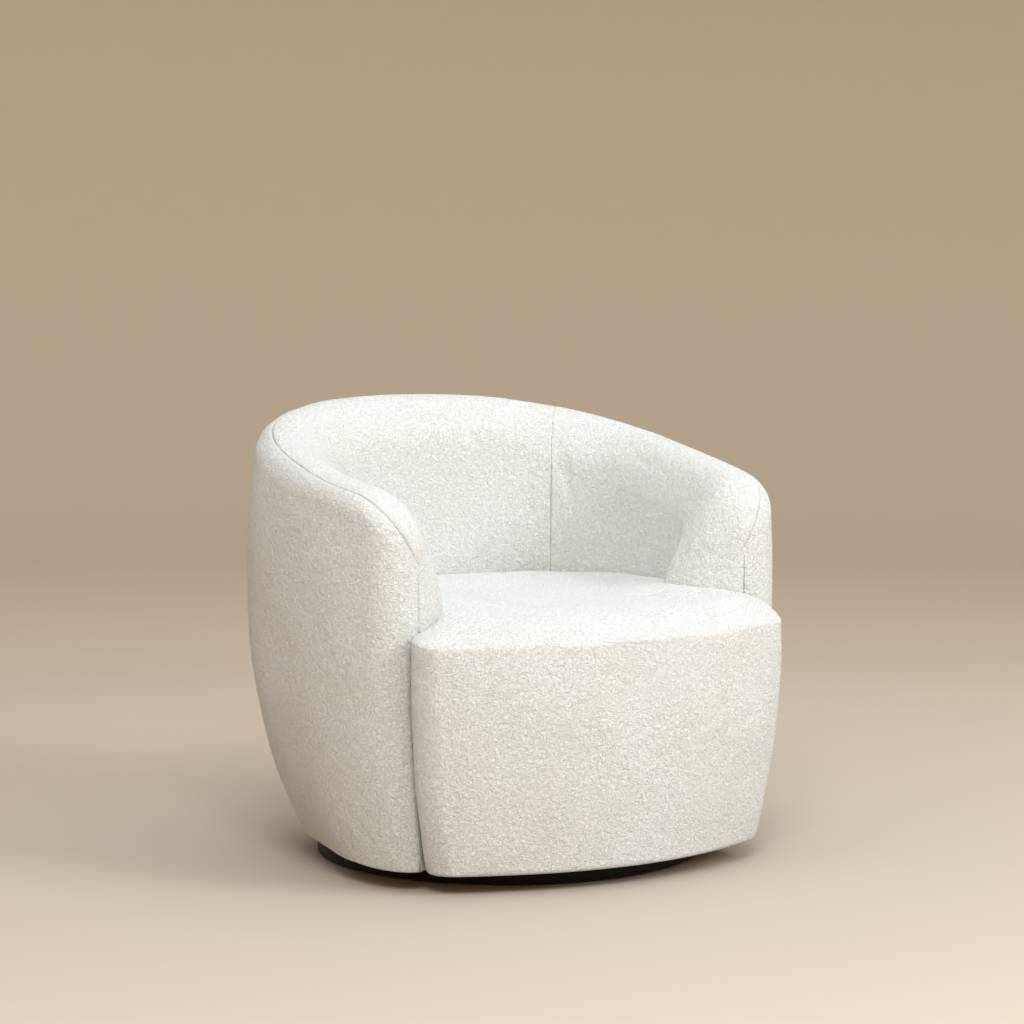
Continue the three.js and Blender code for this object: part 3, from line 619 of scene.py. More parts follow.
@dataclass(frozen=True)
class StudioPaper(Finish):
    """Matt seamless paper: a pale floor that deepens into a tan wall with distance."""

    name: str = "seamless_paper_matt"
    near: str = "#BEB1A1"
    band: str = "#CFBEA7"
    wall: str = "#D4C1A6"
    band_at: float = 2.3
    wall_at: float = 3.3
    reach: float = 7.0

    def material(self) -> bpy.types.Material:
        """Builds the paper.

        Returns:
            The finished material.
        """
        made, tree, shader, place = self.begin()
        flat = add_node(
            tree,
            "ShaderNodeVectorMath",
            {"operation": "MULTIPLY"},
            {0: place, 1: (1.0, 1.0, 0.0)},
        )
        far = add_node(
            tree, "ShaderNodeVectorMath", {"operation": "LENGTH"}, {0: flat.outputs[0]}
        )
        share = add_node(
            tree,
            "ShaderNodeMath",
            {"operation": "DIVIDE"},
            {0: far.outputs["Value"], 1: self.reach},
        )
        shade = add_node(tree, "ShaderNodeValToRGB", None, {"Fac": share.outputs[0]})
        stops = [
            (0.0, self.near),
            (self.band_at / self.reach, self.band),
            (self.wall_at / self.reach, self.wall),
        ]
        set_ramp(shade, stops)
        shade.color_ramp.interpolation = "EASE"
        tooth = add_noise(tree, place, 700.0, 2.0)
        bump = add_bump(tree, tooth.outputs[0], 0.05, 0.0003)
        tree.links.new(shade.outputs[0], shader.inputs["Base Color"])
        tree.links.new(bump.outputs[0], shader.inputs["Normal"])
        shader.inputs["Roughness"].default_value = 0.75
        shader.inputs["Specular IOR Level"].default_value = 0.25
        return made


# ------------------------------------------------------------------ covers as grids


@dataclass(frozen=True)
class Turn:
    """How a cover turns in along one edge."""

    edge: Edge
    radius: float
    depth: float
    above: float = -1000.0  # the turn fades out below this height


@dataclass(frozen=True)
class Boucle:
    """The loops of the fabric as real relief."""

    loop: tuple[float, float, float] = (7.5, 7.5, 6.0)
    height: float = 1.7
    swell: float = 0.8
    swell_size: float = 75.0
    bend: float = 2.2
    bend_size: float = 11.0
    fine: float = 0.55
    coarse_weight: float = 0.62
    fine_weight: float = 0.38
    middle: float = 0.55

    def relief(self, points: np.ndarray, seed: int) -> np.ndarray:
        """Height of the loops and of the soft swell of the padding.

        Args:
            points: places in mm, one row each.
            seed: which pattern.

        Returns:
            Outward heights in mm.
        """
        bend = np.stack([wave_noise(points, self.bend_size, seed + k) for k in range(3)], axis=1)
        bent = points + self.bend * bend
        coarse = 1.0 - cell_noise(bent, self.loop, seed)
        fine = 1.0 - cell_noise(bent, [s * self.fine for s in self.loop], seed + 7)
        both = self.coarse_weight * coarse + self.fine_weight * fine
        loops = self.height * (both - self.middle)
        return loops + self.swell * wave_noise(points, self.swell_size, seed + 11)


@dataclass
class Cover:
    """A padded cover: a fine outer skin on a grid, closed by a plain back.

    Rows run along the piece and points run across it.
    """

    name: str
    skin: np.ndarray  # rows, points, xyz in mm
    back: np.ndarray  # rows, points, xyz in mm
    turns: Sequence[Turn]
    puff: float = 0.0
    seed: int = 1
    back_step: int = 4
    ring: bool = False

    def normals(self) -> np.ndarray:
        """Unit outward normals of the skin.

        Returns:
            One vector for each point of the grid.
        """
        along = np.gradient(self.skin, axis=0)
        across = np.gradient(self.skin, axis=1)
        normal = np.cross(along, across)
        normal /= np.maximum(1e-9, np.linalg.norm(normal, axis=2, keepdims=True))
        outward = np.mean(np.sum(normal * (self.skin - self.back), axis=2))
        return normal if outward > 0 else -normal

    def distance(self, edge: Edge) -> np.ndarray:
        """Distance of every point from one edge, along the grid.

        Args:
            edge: which edge.

        Returns:
            Distances in mm.
        """
        axis = 0 if edge in (Edge.FIRST_ROW, Edge.LAST_ROW) else 1
        steps = np.linalg.norm(np.diff(self.skin, axis=axis), axis=2)
        start = np.zeros_like(np.take(steps, [0], axis=axis))
        run = np.concatenate([start, np.cumsum(steps, axis=axis)], axis=axis)
        if edge in (Edge.LAST_ROW, Edge.LAST_POINT):
            run = np.take(run, [-1], axis=axis) - run
        return run

    def filled(self) -> np.ndarray:
        """Outward swell when the skin is held at its edges and blown up as cloth.

        Returns:
            One height in mm for each point, no more than the puff.
        """
        rows, points = self.skin.shape[:2]
        row_marks = np.unique(np.linspace(0, rows - 1, FORM_ROWS).astype(int))
        point_marks = np.unique(np.linspace(0, points - 1, FORM_POINTS).astype(int))
        coarse = self.skin[np.ix_(row_marks, point_marks)]
        normal = self.normals()[np.ix_(row_marks, point_marks)]
        n, m = coarse.shape[:2]
        used = n - 1 if self.ring else n
        spans = used if self.ring else n - 1
        faces = [
            (r * m + p, r * m + p + 1, (r + 1) % used * m + p + 1, (r + 1) % used * m + p)
            for r in range(spans)
            for p in range(m - 1)
        ]
        if self.ring:
            held = [r * m for r in range(used)]
        else:
            held = [
                r * m + p for r in range(n) for p in range(m) if r in (0, n - 1) or p in (0, m - 1)
            ]
        mesh = bpy.data.meshes.new(self.name + "_form")
        mesh.from_pydata((coarse[:used].reshape(-1, 3) * MM).tolist(), [], faces)
        form = bpy.data.objects.new(self.name + "_form", mesh)
        scene = bpy.context.scene
        scene.collection.objects.link(form)
        form.vertex_groups.new(name="sewn").add(held, 1.0, "REPLACE")
        cloth = form.modifiers.new("Cloth", "CLOTH")
        cloth.settings.use_pressure = True
        outward = facing(mesh, normal[:used].reshape(-1, 3))
        cloth.settings.uniform_pressure_force = CLOTH_PRESSURE * outward
        cloth.settings.vertex_group_mass = "sewn"
        cloth.settings.effector_weights.gravity = 0.0
        for frame_number in range(1, CLOTH_FRAMES + 1):
            scene.frame_set(frame_number)
        shown = form.evaluated_get(bpy.context.evaluated_depsgraph_get())
        moved = np.empty(len(mesh.vertices) * 3)
        shown.data.vertices.foreach_get("co", moved)
        moved = moved.reshape(used, m, 3) / MM
        bpy.data.objects.remove(form)
        scene.frame_set(1)
        height = np.sum((moved - coarse[:used]) * normal[:used], axis=2)
        if self.ring:
            height = np.concatenate([height, height[:1]])
        height = self.puff * np.tanh(np.maximum(height, 0.0) / self.puff)
        wide = np.stack([np.interp(np.arange(points), point_marks, h) for h in height])
        return np.stack(
            [np.interp(np.arange(rows), row_marks, wide[:, p]) for p in range(points)], axis=1
        )

    def dressed(self, boucle: Boucle) -> np.ndarray:
        """The skin with its turned edges, its puff and its loops.

        Args:
            boucle: the relief of the fabric.

        Returns:
            The grid of points in mm.
        """
        normal = self.normals()
        offset = np.zeros(self.skin.shape[:2])
        calm = np.ones(self.skin.shape[:2])
        for turn in self.turns:
            far = self.distance(turn.edge)
            held = clamp01((self.skin[:, :, 2] - turn.above) / TURN_FADE)
            offset -= rounded_over(far, turn.radius, turn.depth) * held
            beyond = smooth(clamp01(far / (turn.radius * TURN_CALM_REACH)))
            calm *= 1 - TURN_CALM * held * (1 - beyond)
        if self.puff > 0:
            offset += self.filled()
        flat = self.skin.reshape(-1, 3)
        relief = boucle.relief(flat, self.seed).reshape(self.skin.shape[:2])
        return self.skin + normal * (offset + relief * calm)[:, :, None]

    def build(self, boucle: Boucle) -> bpy.types.Object:
        """Makes the closed mesh.

        Args:
            boucle: the relief of the fabric.

        Returns:
            The new object, in the scene.
        """
        face = self.dressed(boucle)
        rows, points = face.shape[:2]
        marks = list(range(0, points - 1, self.back_step)) + [points - 1]
        rear = self.back[:, marks]
        vertices = np.concatenate([face.reshape(-1, 3), rear.reshape(-1, 3)]) * MM
        first = rows * points
        count = len(marks)
        faces: list[tuple[int, ...]] = []
        for r in range(rows - 1):
            a = r * points
            b = a + points
            faces += [(a + p, a + p + 1, b + p + 1, b + p) for p in range(points - 1)]
            c = first + r * count
            d = c + count
            faces += [(c + k + 1, c + k, d + k, d + k + 1) for k in range(count - 1)]
            faces.append((a, b, d, c))
            faces.append((a + points - 1, c + count - 1, d + count - 1, b + points - 1))
        for r, flip in ((0, True), (rows - 1, False)):
            a = r * points
            c = first + r * count
            for k in range(count - 1):
                ring = [a + p for p in range(marks[k], marks[k + 1] + 1)]
                ring += [c + k + 1, c + k]
                faces.append(tuple(reversed(ring)) if flip else tuple(ring))
        return mesh_object(self.name, vertices, faces)


def facing(mesh: bpy.types.Mesh, outward: np.ndarray) -> float:
    """Which side of an open mesh its faces look to.

    Args:
        mesh: the mesh.
        outward: the wanted direction at each vertex.

    Returns:
        1 if they look outward, or -1.
    """
    total = sum(
        float(np.dot(np.array(face.normal), outward[face.vertices[0]])) for face in mesh.polygons
    )
    return 1.0 if total > 0 else -1.0


def mesh_object(
    name: str, vertices: np.ndarray, faces: Iterable[tuple[int, ...]]
) -> bpy.types.Object:
    """Makes a mesh object with consistent outward normals and smooth shading.

    Args:
        name: the object's name.
        vertices: places in metres.
        faces: rings of vertex numbers.

    Returns:
        The new object, linked to the scene.
    """
    mesh = bpy.data.meshes.new(name)
    mesh.from_pydata(vertices.tolist(), [], list(faces))
    work = bmesh.new()
    work.from_mesh(mesh)
    bmesh.ops.remove_doubles(work, verts=work.verts, dist=0.00002)
    bmesh.ops.recalc_face_normals(work, faces=work.faces)
    work.to_mesh(mesh)
    work.free()
    mesh.shade_smooth()
    made = bpy.data.objects.new(name, mesh)
    bpy.context.scene.collection.objects.link(made)
    return made


# ------------------------------------------------------------------ the tub's shape


@dataclass
class Stations:
    """Cross-sections along the tub wall's centre line."""

    centre: np.ndarray
    normal: np.ndarray
    half: np.ndarray
    inner_half: np.ndarray
    top: np.ndarray
    tuck: np.ndarray
    seam: np.ndarray
    hem: np.ndarray
    belly: np.ndarray

    def mirrored(self) -> "Stations":
        """The same stations on the sitter's other side."""
        flip = np.array([-1.0, 1.0])
        return replace(self, centre=self.centre * flip, normal=self.normal * flip)

    def place(self, across: np.ndarray, height: np.ndarray) -> np.ndarray:
        """Points of every section.

        Args:
            across: distances outward from the centre line, one row a station.
            height: heights, one row a station.

        Returns:
            Places in mm.
        """
        plan = self.centre[:, None, :] + self.normal[:, None, :] * across[:, :, None]
        return np.concatenate([plan, height[:, :, None]], axis=2)


@dataclass
class TubShape:
    """Sizes of the tub's wall in mm."""

    width: float
    depth: float
    back_height: float
    cover_bottom: float
    arm_height: float = 605.0
    outline_centre_y: float = -24.0
    outline_exponent: float = 2.35
    arm_toe_in: float = 12.0
    arm_setback: float = 148.5
    arm_thickness: float = 120.0
    back_thickness: float = 140.0
    joint_angle: float = math.radians(48.0)
    widest_height: float = 465.0
    bottom_tuck_side: float = 91.0
    bottom_tuck_back: float = 62.0
    bottom_tuck_front: float = 38.0
    tuck_full_y: float = 100.0
    tuck_power: float = 2.4
    top_lean: float = 28.0
    rim_radius: float = 44.0
    rim_rise_power: float = 1.36
    arm_front_roll: float = 100.0
    seam_roll_back: float = 1.2
    seam_roll_tip: float = 0.88
    seam_settle: float = 330.0
    outer_squareness: float = 0.89
    hem_drop: float = 3.0
    arm_extra: float = 8.0
    belly_nose: float = 58.0
    belly_arm: float = 14.0
    belly_start: float = 20.0
    belly_height: float = 400.0
    inner_roll_drop: float = 92.0
    tip_start: float = math.radians(0.3)
    flare_run: float = 80.0
    extra_start: float = 150.0
    extra_run: float = 200.0
    hem_drop_y: float = -140.0
    nose_length: float = 94.0
    arm_length: float = 590.0
    back_length: float = 640.0

    @property
    def tip_y(self) -> float:
        """How far forward the arms reach."""
        return self.arm_setback - self.depth / 2

    def outline(self, angle: np.ndarray) -> tuple[np.ndarray, np.ndarray]:
        """The widest plan outline.

        Args:
            angle: angles round the plan's centre.

        Returns:
            The points and the outward normals.
        """
        across = self.width / 2
        rear = self.depth / 2 - self.outline_centre_y
        front = self.depth / 2 + self.outline_centre_y + self.arm_toe_in
        along = np.where(np.sin(angle) >= 0, rear, front)
        power = 2 / self.outline_exponent
        x = across * np.sign(np.cos(angle)) * np.abs(np.cos(angle)) ** power
        y = along * np.sign(np.sin(angle)) * np.abs(np.sin(angle)) ** power
        steep = self.outline_exponent - 1
        nx = np.sign(x) * np.abs(x / across) ** steep / across
        ny = np.sign(y) * np.abs(y / along) ** steep / along
        normal = np.stack([nx, ny], axis=1)
        normal /= np.linalg.norm(normal, axis=1, keepdims=True)
        return np.stack([x, y + self.outline_centre_y], axis=1), normal

    def stations(self, centre: np.ndarray, normal: np.ndarray, behind: np.ndarray) -> Stations:
        """Sections at given places of the centre line.

        Args:
            centre: places in plan.
            normal: outward normals.
            behind: distances behind the arm's tip.

        Returns:
            The sections.
        """
        half_arm = self.arm_thickness / 2
        nose = np.maximum(0.0, half_arm - behind)
        half = np.sqrt(np.maximum(0.0, half_arm**2 - nose**2))
        roll = np.minimum(self.arm_front_roll, np.maximum(0.0, self.arm_front_roll - behind))
        drop = self.arm_front_roll - np.sqrt(self.arm_front_roll**2 - roll**2)
        rear = clamp01(normal[:, 1]) ** 2
        rear_y = self.depth / 2 - half_arm
        u = clamp01((centre[:, 1] - self.tip_y) / (rear_y - self.tip_y))
        rise = (self.back_height - self.arm_height) * u**self.rim_rise_power
        outer_y = centre[:, 1] + normal[:, 1] * half_arm
        side = smooth(clamp01((outer_y - self.tip_y) / (self.tuck_full_y - self.tip_y)))
        tuck = self.bottom_tuck_front + (self.bottom_tuck_side - self.bottom_tuck_front) * side
        tuck += (self.bottom_tuck_back - self.bottom_tuck_side) * clamp01(normal[:, 1]) ** 4
        ahead = 1 - smooth(clamp01((behind - self.extra_start) / self.extra_run))
        forward = clamp01((self.hem_drop_y - outer_y) / (self.hem_drop_y - self.tip_y))
        flare = 1 - smooth(clamp01((behind - half_arm) / self.flare_run))
        belly = self.belly_arm + (self.belly_nose - self.belly_arm) * flare
        extra = (self.back_thickness - self.arm_thickness) * rear
        extra = extra + self.arm_extra * ahead * half / half_arm
        return Stations(
            centre=centre,
            normal=normal,
            half=half,
            inner_half=half + extra,
            hem=self.cover_bottom - self.hem_drop * forward,
            belly=belly * (1 - rear) * half / half_arm,
            top=self.arm_height + rise - drop,
            tuck=tuck,
            seam=self.seam_roll_tip
            + (self.seam_roll_back - self.seam_roll_tip)
            * smooth(clamp01(behind / self.seam_settle)),
        )

    def nose_angle(self) -> float:
        """The outline's angle where the arm's rounded front starts, by halving the range."""
        ahead, behind = -math.pi / 2, 0.0
        for _ in range(40):
            angle = (ahead + behind) / 2
            point, normal = self.outline(np.array([angle]))
            tip = point[0, 1] - self.arm_thickness / 2 * (normal[0, 1] + 1)
            if tip < self.tip_y:
                ahead = angle
            else:
                behind = angle
        return behind

    def nose(self) -> tuple[np.ndarray, np.ndarray]:
        """Centre of the arm's rounded front, and the outward normal there."""
        point, normal = self.outline(np.array([self.nose_angle()]))
        return point[0] - normal[0] * self.arm_thickness / 2, normal[0]

    def between(self, first: float, last: float, shares: np.ndarray) -> Stations:
        """Sections between two outline angles.

        Args:
            first: first angle.
            last: last angle.
            shares: rising shares of the outline's length between them.

        Returns:
            The sections.
        """
        fine = np.linspace(first, last, 2000)
        points, _ = self.outline(fine)
        run = np.concatenate([[0.0], np.cumsum(np.linalg.norm(np.diff(points, axis=0), axis=1))])
        angles = np.interp(shares * run[-1], run, fine)
        point, normal = self.outline(angles)
        centre = point - normal * self.arm_thickness / 2
        nose, _ = self.nose()
        behind = self.arm_thickness / 2 + np.linalg.norm(centre - nose, axis=1)
        return self.stations(centre, normal, behind)

    def arm(self, step: float) -> Stations:
        """The left arm's sections from its tip to the joint with the back.

        Args:
            step: distance between sections in mm.

        Returns:
            The sections.
        """
        half_arm = self.arm_thickness / 2
        nose, normal = self.nose()
        turn = np.linspace(self.tip_start, math.pi / 2, max(8, int(self.nose_length / step)))[:-1]
        behind = half_arm * (1 - np.cos(turn))
        forward = np.array([normal[1], -normal[0]])
        centre = nose + forward * (half_arm - behind)[:, None]
        front = self.stations(centre, np.repeat(normal[None, :], len(turn), axis=0), behind)
        shares = spaced(self.arm_length, step, False, True)
        rest = self.between(self.nose_angle(), self.joint_angle, shares)
        return joined(front, rest)

    def back(self, step: float) -> Stations:
        """The back's sections from the left joint to the right one.

        Args:
            step: distance between sections in mm.

        Returns:
            The sections.
        """
        shares = spaced(self.back_length, step, True, True)
        return self.between(self.joint_angle, math.pi - self.joint_angle, shares)

    def inset(self, z: np.ndarray, tuck: np.ndarray) -> np.ndarray:
        """How far the outer face stands inside its widest line at a height."""
        below = clamp01((self.widest_height - z) / (self.widest_height - self.cover_bottom))
        above = np.maximum(0.0, (z - self.widest_height) / (self.back_height - self.widest_height))
        return tuck * below**self.tuck_power + self.top_lean * above**2

    def rim(self, s: Stations, roll: np.ndarray, depth: float) -> tuple[np.ndarray, np.ndarray]:
        """The rolled rim, from the outer face at 0 to the inner face at half a turn.

        Args:
            s: the sections.
            roll: angles round the rim, one row a section.
            depth: distance inside the cover in mm.

        Returns:
            Distances across and heights.
        """
        scale = (s.half / (self.arm_thickness / 2))[:, None]
        shoulder = s.top[:, None] - self.rim_radius
        outer = s.half[:, None] - (self.inset(shoulder, s.tuck[:, None]) + depth) * scale
        inner = s.inner_half[:, None] - depth * scale
        cos, sin = np.cos(roll), np.sin(roll)
        # the outer shoulder is fuller than a circle, the inner one a long soft roll
        power = np.where(cos > 0, self.outer_squareness, 1.0)
        reach = np.where(cos > 0, outer, inner)
        drop = np.where(cos > 0, self.rim_radius, self.inner_roll_drop)
        across = reach * np.sign(cos) * np.abs(cos) ** power
        height = s.top[:, None] - depth - (drop - depth) * (1 - np.abs(sin) ** power)
        across -= np.where(cos < 0, s.belly[:, None] * self.swell(s, height), 0.0)
        return across, height

    def swell(self, s: Stations, z: np.ndarray) -> np.ndarray:
        """Share of the belly that the inner face has reached at a height."""
        start = s.top[:, None] - self.belly_start
        return smooth(clamp01((start - z) / (start - self.belly_height)))

    def outer(self, s: Stations, shares: np.ndarray, rolls: np.ndarray, depth: float) -> np.ndarray:
        """The outer face from the hem to the top seam.

        Args:
            s: the sections.
            shares: shares of the height from the hem to the shoulder.
            rolls: shares of the roll from the shoulder to the seam.
            depth: distance inside the cover in mm.

        Returns:
            The grid of points in mm.
        """
        scale = (s.half / (self.arm_thickness / 2))[:, None]
        shoulder = s.top[:, None] - self.rim_radius
        z = s.hem[:, None] + (shoulder - s.hem[:, None]) * shares[None, :]
        across = s.half[:, None] - (self.inset(z, s.tuck[:, None]) + depth) * scale
        over, height = self.rim(s, s.seam[:, None] * rolls[None, :], depth)
        return s.place(np.concatenate([across, over], 1), np.concatenate([z, height], 1))

    def inner(
        self, s: Stations, rolls: np.ndarray, shares: np.ndarray, bottom: np.ndarray, depth: float
    ) -> np.ndarray:
        """The inner face from the top seam over the rim and down.

        Args:
            s: the sections.
            rolls: shares of the roll from the seam to the inner face.
            shares: shares of the height from the shoulder down.
            bottom: height of each section's lower edge in mm.
            depth: distance inside the cover in mm.

        Returns:
            The grid of points in mm.
        """
        scale = (s.half / (self.arm_thickness / 2))[:, None]
        seam = s.seam[:, None]
        over, height = self.rim(s, seam + (math.pi - seam) * rolls[None, :], depth)
        shoulder = s.top[:, None] - self.inner_roll_drop
        z = shoulder + (bottom[:, None] - shoulder) * shares[None, :]
        swell = self.swell(s, z)
        below = self.inset(z, s.tuck[:, None]) * scale * (z < self.belly_height)
        across = -(s.inner_half[:, None] - depth * scale + s.belly[:, None] * swell - below)
        return s.place(np.concatenate([over, across], 1), np.concatenate([height, z], 1))


def joined(first: Stations, second: Stations) -> Stations:
    """Two runs of sections end to end."""
    names = ("centre", "normal", "half", "inner_half", "top", "tuck", "seam", "hem", "belly")
    parts = {n: np.concatenate([getattr(first, n), getattr(second, n)]) for n in names}
    return Stations(**parts)


@dataclass
class TubUpholstery:
    """The six covers of the arms and back."""

    shape: TubShape
    boucle: Boucle
    step: float = 3.0
    panel_depth: float = 15.0
    pad_depth: float = 20.0
    pad_bottom: float = 372.0
    panel_height: float = 530.0
    panel_roll: float = 60.0
    pad_roll: float = 150.0
    pad_height: float = 200.0
    hem_marks: tuple[float, ...] = (0.0, 0.002, 0.004)
    tip_groove_foot: float = 375.0
    puff: float = 2.5

    def tip_turn(self) -> Turn:
        """The fine seam down the arm's tip, which fades out behind the seat."""
        return Turn(Edge.FIRST_ROW, 2.6, 1.2, self.tip_groove_foot)

    def outer_cover(self, name: str, s: Stations, tip: bool, seed: int) -> Cover:
        """An outer cover from the hem to the top seam.

        Args:
            name: the piece's name.
            s: the sections.
            tip: whether the first row is the arm's tip.
            seed: which pattern of loops.

        Returns:
            The cover.
        """
        shares = spaced(self.panel_height, self.step, False, False)[:-1]
        shares = np.concatenate([self.hem_marks, shares[1:]])
        rolls = spaced(self.panel_roll, self.step, False, True)
        skin = self.shape.outer(s, shares, rolls, 0.0)
        back = self.shape.outer(s, shares, rolls, self.panel_depth)
        turns = [
            Turn(Edge.FIRST_POINT, 5.0, 2.2),
            Turn(Edge.LAST_POINT, 4.5, 3.6),
            Turn(Edge.LAST_ROW, 4.5, 3.2),
            self.tip_turn() if tip else Turn(Edge.FIRST_ROW, 4.5, 3.2),
        ]
        return Cover(name, skin, back, turns, puff=self.puff, seed=seed)

    def inner_pad(self, name: str, s: Stations, tip: bool, seed: int) -> Cover:
        """An inner pad from the top seam over the rim and down behind the seat.

        Args:
            name: the piece's name.
            s: the sections.
            tip: whether the first row is the arm's tip.
            seed: which pattern of loops.

        Returns:
            The cover.
        """
        rolls = spaced(self.pad_roll, self.step, True, False)
        shares = spaced(self.pad_height, self.step, False, False)[1:]
        at_nose = s.half < self.shape.arm_thickness / 2 - 0.01
        bottom = np.where(at_nose, s.hem, self.pad_bottom)
        skin = self.shape.inner(s, rolls, shares, bottom, 0.0)
        back = self.shape.inner(s, rolls, shares, bottom, self.pad_depth)
        turns = [
            Turn(Edge.FIRST_POINT, 4.5, 3.6),
            Turn(Edge.LAST_ROW, 3.2, 1.5),
            self.tip_turn() if tip else Turn(Edge.FIRST_ROW, 3.2, 1.5),
        ]
        return Cover(name, skin, back, turns, puff=self.puff, seed=seed)

    def build(self, fabric: bpy.types.Material) -> None:
        """Makes, dresses and places the six covers.

        Args:
            fabric: the boucle.
        """
        left = self.shape.arm(self.step)
        runs = [
            ("left_arm", left, True),
            ("back", self.shape.back(self.step), False),
            ("right_arm", left.mirrored(), True),
        ]
        for number, (side, s, tip) in enumerate(runs):
            outer = self.outer_cover(f"{side}_outer_cover", s, tip, 20 + number)
            inner = self.inner_pad(f"{side}_inner_cover", s, tip, 30 + number)
            for cover, node in ((outer, f"outer_{side}_panel"), (inner, f"inner_{side}_pad")):
                made = cover.build(self.boucle)
                upholster(made, fabric, 0.9, node)


def upholster(piece: bpy.types.Object, fabric: bpy.types.Material, fill: float, *nodes: str) -> None:
    """Gives a padded piece its fabric and its body, and hides the nodes that it replaces.

    Args:
        piece: the new piece.
        fabric: its material.
        fill: not used.
        nodes: the solids that it replaces.
    """
    piece.data.materials.append(fabric)
    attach(piece, Body.CHAIR.value)
    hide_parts(*nodes)
    LOG.info("%s: %d faces", piece.name, len(piece.data.polygons))


# ------------------------------------------------------------------ seat and apron


@dataclass
class SeatFront:
    """Sizes of the bowed front, the apron and the tight seat in mm."""

    tub: TubShape
    front_height: float = 382.0
    crown_height: float = 418.0
    crown_run: float = 190.0
    edge_puff: float = 14.0
    edge_puff_fade: float = 170.0
    right_corner_calm: float = 0.55  # share of the lift pressed out at the sitter's right
    left_corner_calm: float = -0.12  # below 0, this corner stands a little fuller
    corner_start: float = 190.0
    corner_run: float = 110.0
    corner_depth: float = 450.0
    ease_width: float = 60.0  # evens out the ridge where the grid turns from front to arm
    ease_start: float = 12.0
    ease_run: float = 70.0
    edge_puff_run: float = 34.0
    half_width: float = 340.0
    sag: float = 85.0
    corner: float = 42.0
    corner_end: float = math.radians(60.0)
    tuck_centre: float = 18.0
    tuck_corner: float = 37.0
    apron_depth: float = 17.0
    seat_bottom: float = 311.0
    skirt_inset: float = 28.0
    tip_gap: float = 0.6
    pad_gap: float = 0.5
    sewn_fade: float = 70.0
    sewn_at_tip: float = 0.75
    gather_radius: float = 330.0
    crevice_radius: float = 26.0
    crevice_depth: float = 16.0
    lip_radius: float = 6.0
    lip_depth: float = 3.0
    puff: float = 4.0

    def front_y(self, x: np.ndarray) -> np.ndarray:
        """How far forward the bow lies at x."""
        return -self.tub.depth / 2 + self.sag * (x / self.half_width) ** 2

    def bow_normal(self, x: np.ndarray) -> np.ndarray:
        """Unit outward normal of the bow at x."""
        n = np.stack([2 * self.sag * x / self.half_width**2, -np.ones_like(x)], axis=-1)
        return n / np.linalg.norm(n, axis=-1, keepdims=True)

    def bow_half(self) -> float:
        """Half the bow's width, where its rounded corners start."""
        x = self.half_width - self.corner
        for _ in range(20):
            x = self.half_width - self.corner * (1 - float(self.bow_normal(np.array(x))[0]))
        return x

    def front_line(self, step: float) -> tuple[np.ndarray, np.ndarray]:
        """The front's plan line from the right corner's return to the left one's.

        Args:
            step: distance between points in mm.

        Returns:
            The points and the outward normals.
        """
        half = self.bow_half()
        edge = np.array(half)
        first = self.bow_normal(edge)
        middle = np.array([half, float(self.front_y(edge))]) - first * self.corner
        start = math.atan2(first[1], first[0])
        count = max(4, int(self.corner * (self.corner_end - start) / step))
        angles = np.linspace(start, self.corner_end, count + 1)[1:]
        normal = np.stack([np.cos(angles), np.sin(angles)], axis=1)
        corner = middle + normal * self.corner
        x = np.linspace(-half, half, int(2 * half / step) + 1)
        bow = np.stack([x, self.front_y(x)], axis=1)
        flip = np.array([-1.0, 1.0])
        points = np.concatenate([(corner * flip)[::-1], bow, corner])
        normals = np.concatenate([(normal * flip)[::-1], self.bow_normal(x), normal])
        return points, normals

    def tucked(
        self, points: np.ndarray, normals: np.ndarray, share: np.ndarray, out: float
    ) -> np.ndarray:
        """Plan points after a share of the apron's draw towards its hem.

        Args:
            points: the front's plan line.
            normals: its outward normals.
            share: shares of the tuck, broadcast against the points.
            out: distance outward in mm.

        Returns:
            Plan points.
        """
        x = points[..., 0] * (1 - self.tuck_corner * share / self.half_width)
        y = points[..., 1] + self.tuck_centre * share + normals[..., 1] * out
        back_limit = self.tub.tip_y - self.tip_gap
        return np.stack([x + normals[..., 0] * out, np.minimum(y, back_limit)], axis=-1)

    def tuck_share(self, z: np.ndarray) -> np.ndarray:
        """Share of the tuck reached at a height."""
        low = self.tub.cover_bottom
        return clamp01((self.front_height - z) / (self.front_height - low)) ** self.tub.tuck_power

    def apron(self, step: float) -> Cover:
        """The front apron from its seam with the seat down to the hem.

        Args:
            step: distance between points in mm.

        Returns:
            The cover.
        """
        points, normals = self.front_line(step)
        hem = self.tub.cover_bottom - self.tub.hem_drop
        shares = spaced(self.front_height - hem, step, False, True)
        z = hem + (self.front_height - hem) * shares
        grids = []
        for depth in (0.0, -self.apron_depth):
            plan = self.tucked(
                points[:, None, :], normals[:, None, :], self.tuck_share(z)[None, :], depth
            )
            height = np.repeat(z[None, :], len(points), axis=0)
            grids.append(np.concatenate([plan, height[:, :, None]], axis=2))
        turns = [
            Turn(Edge.FIRST_POINT, 6.0, 2.6),
            Turn(Edge.LAST_POINT, 5.0, 3.6),
        ]
        return Cover("seat_front_apron", grids[0], grids[1], turns, puff=self.puff, seed=51)

    def seat_outline(self, step: float) -> tuple[np.ndarray, np.ndarray]:
        """The seat's plan outline and where it is a sewn front edge.

        Args:
            step: distance between points in mm.

        Returns:
            The points, and 1 along the front and 0 along the arms and back.
        """
        front, _ = self.front_line(step)
        front = np.minimum(front, [np.inf, self.tub.tip_y - self.tip_gap])
        arm = self.tub.arm(step)
        back = self.tub.back(step)

        def inside(s: Stations) -> np.ndarray:
            """The inner face's plan line, a little clear of the pad."""
            return s.centre - s.normal * (s.inner_half[:, None] + self.pad_gap)

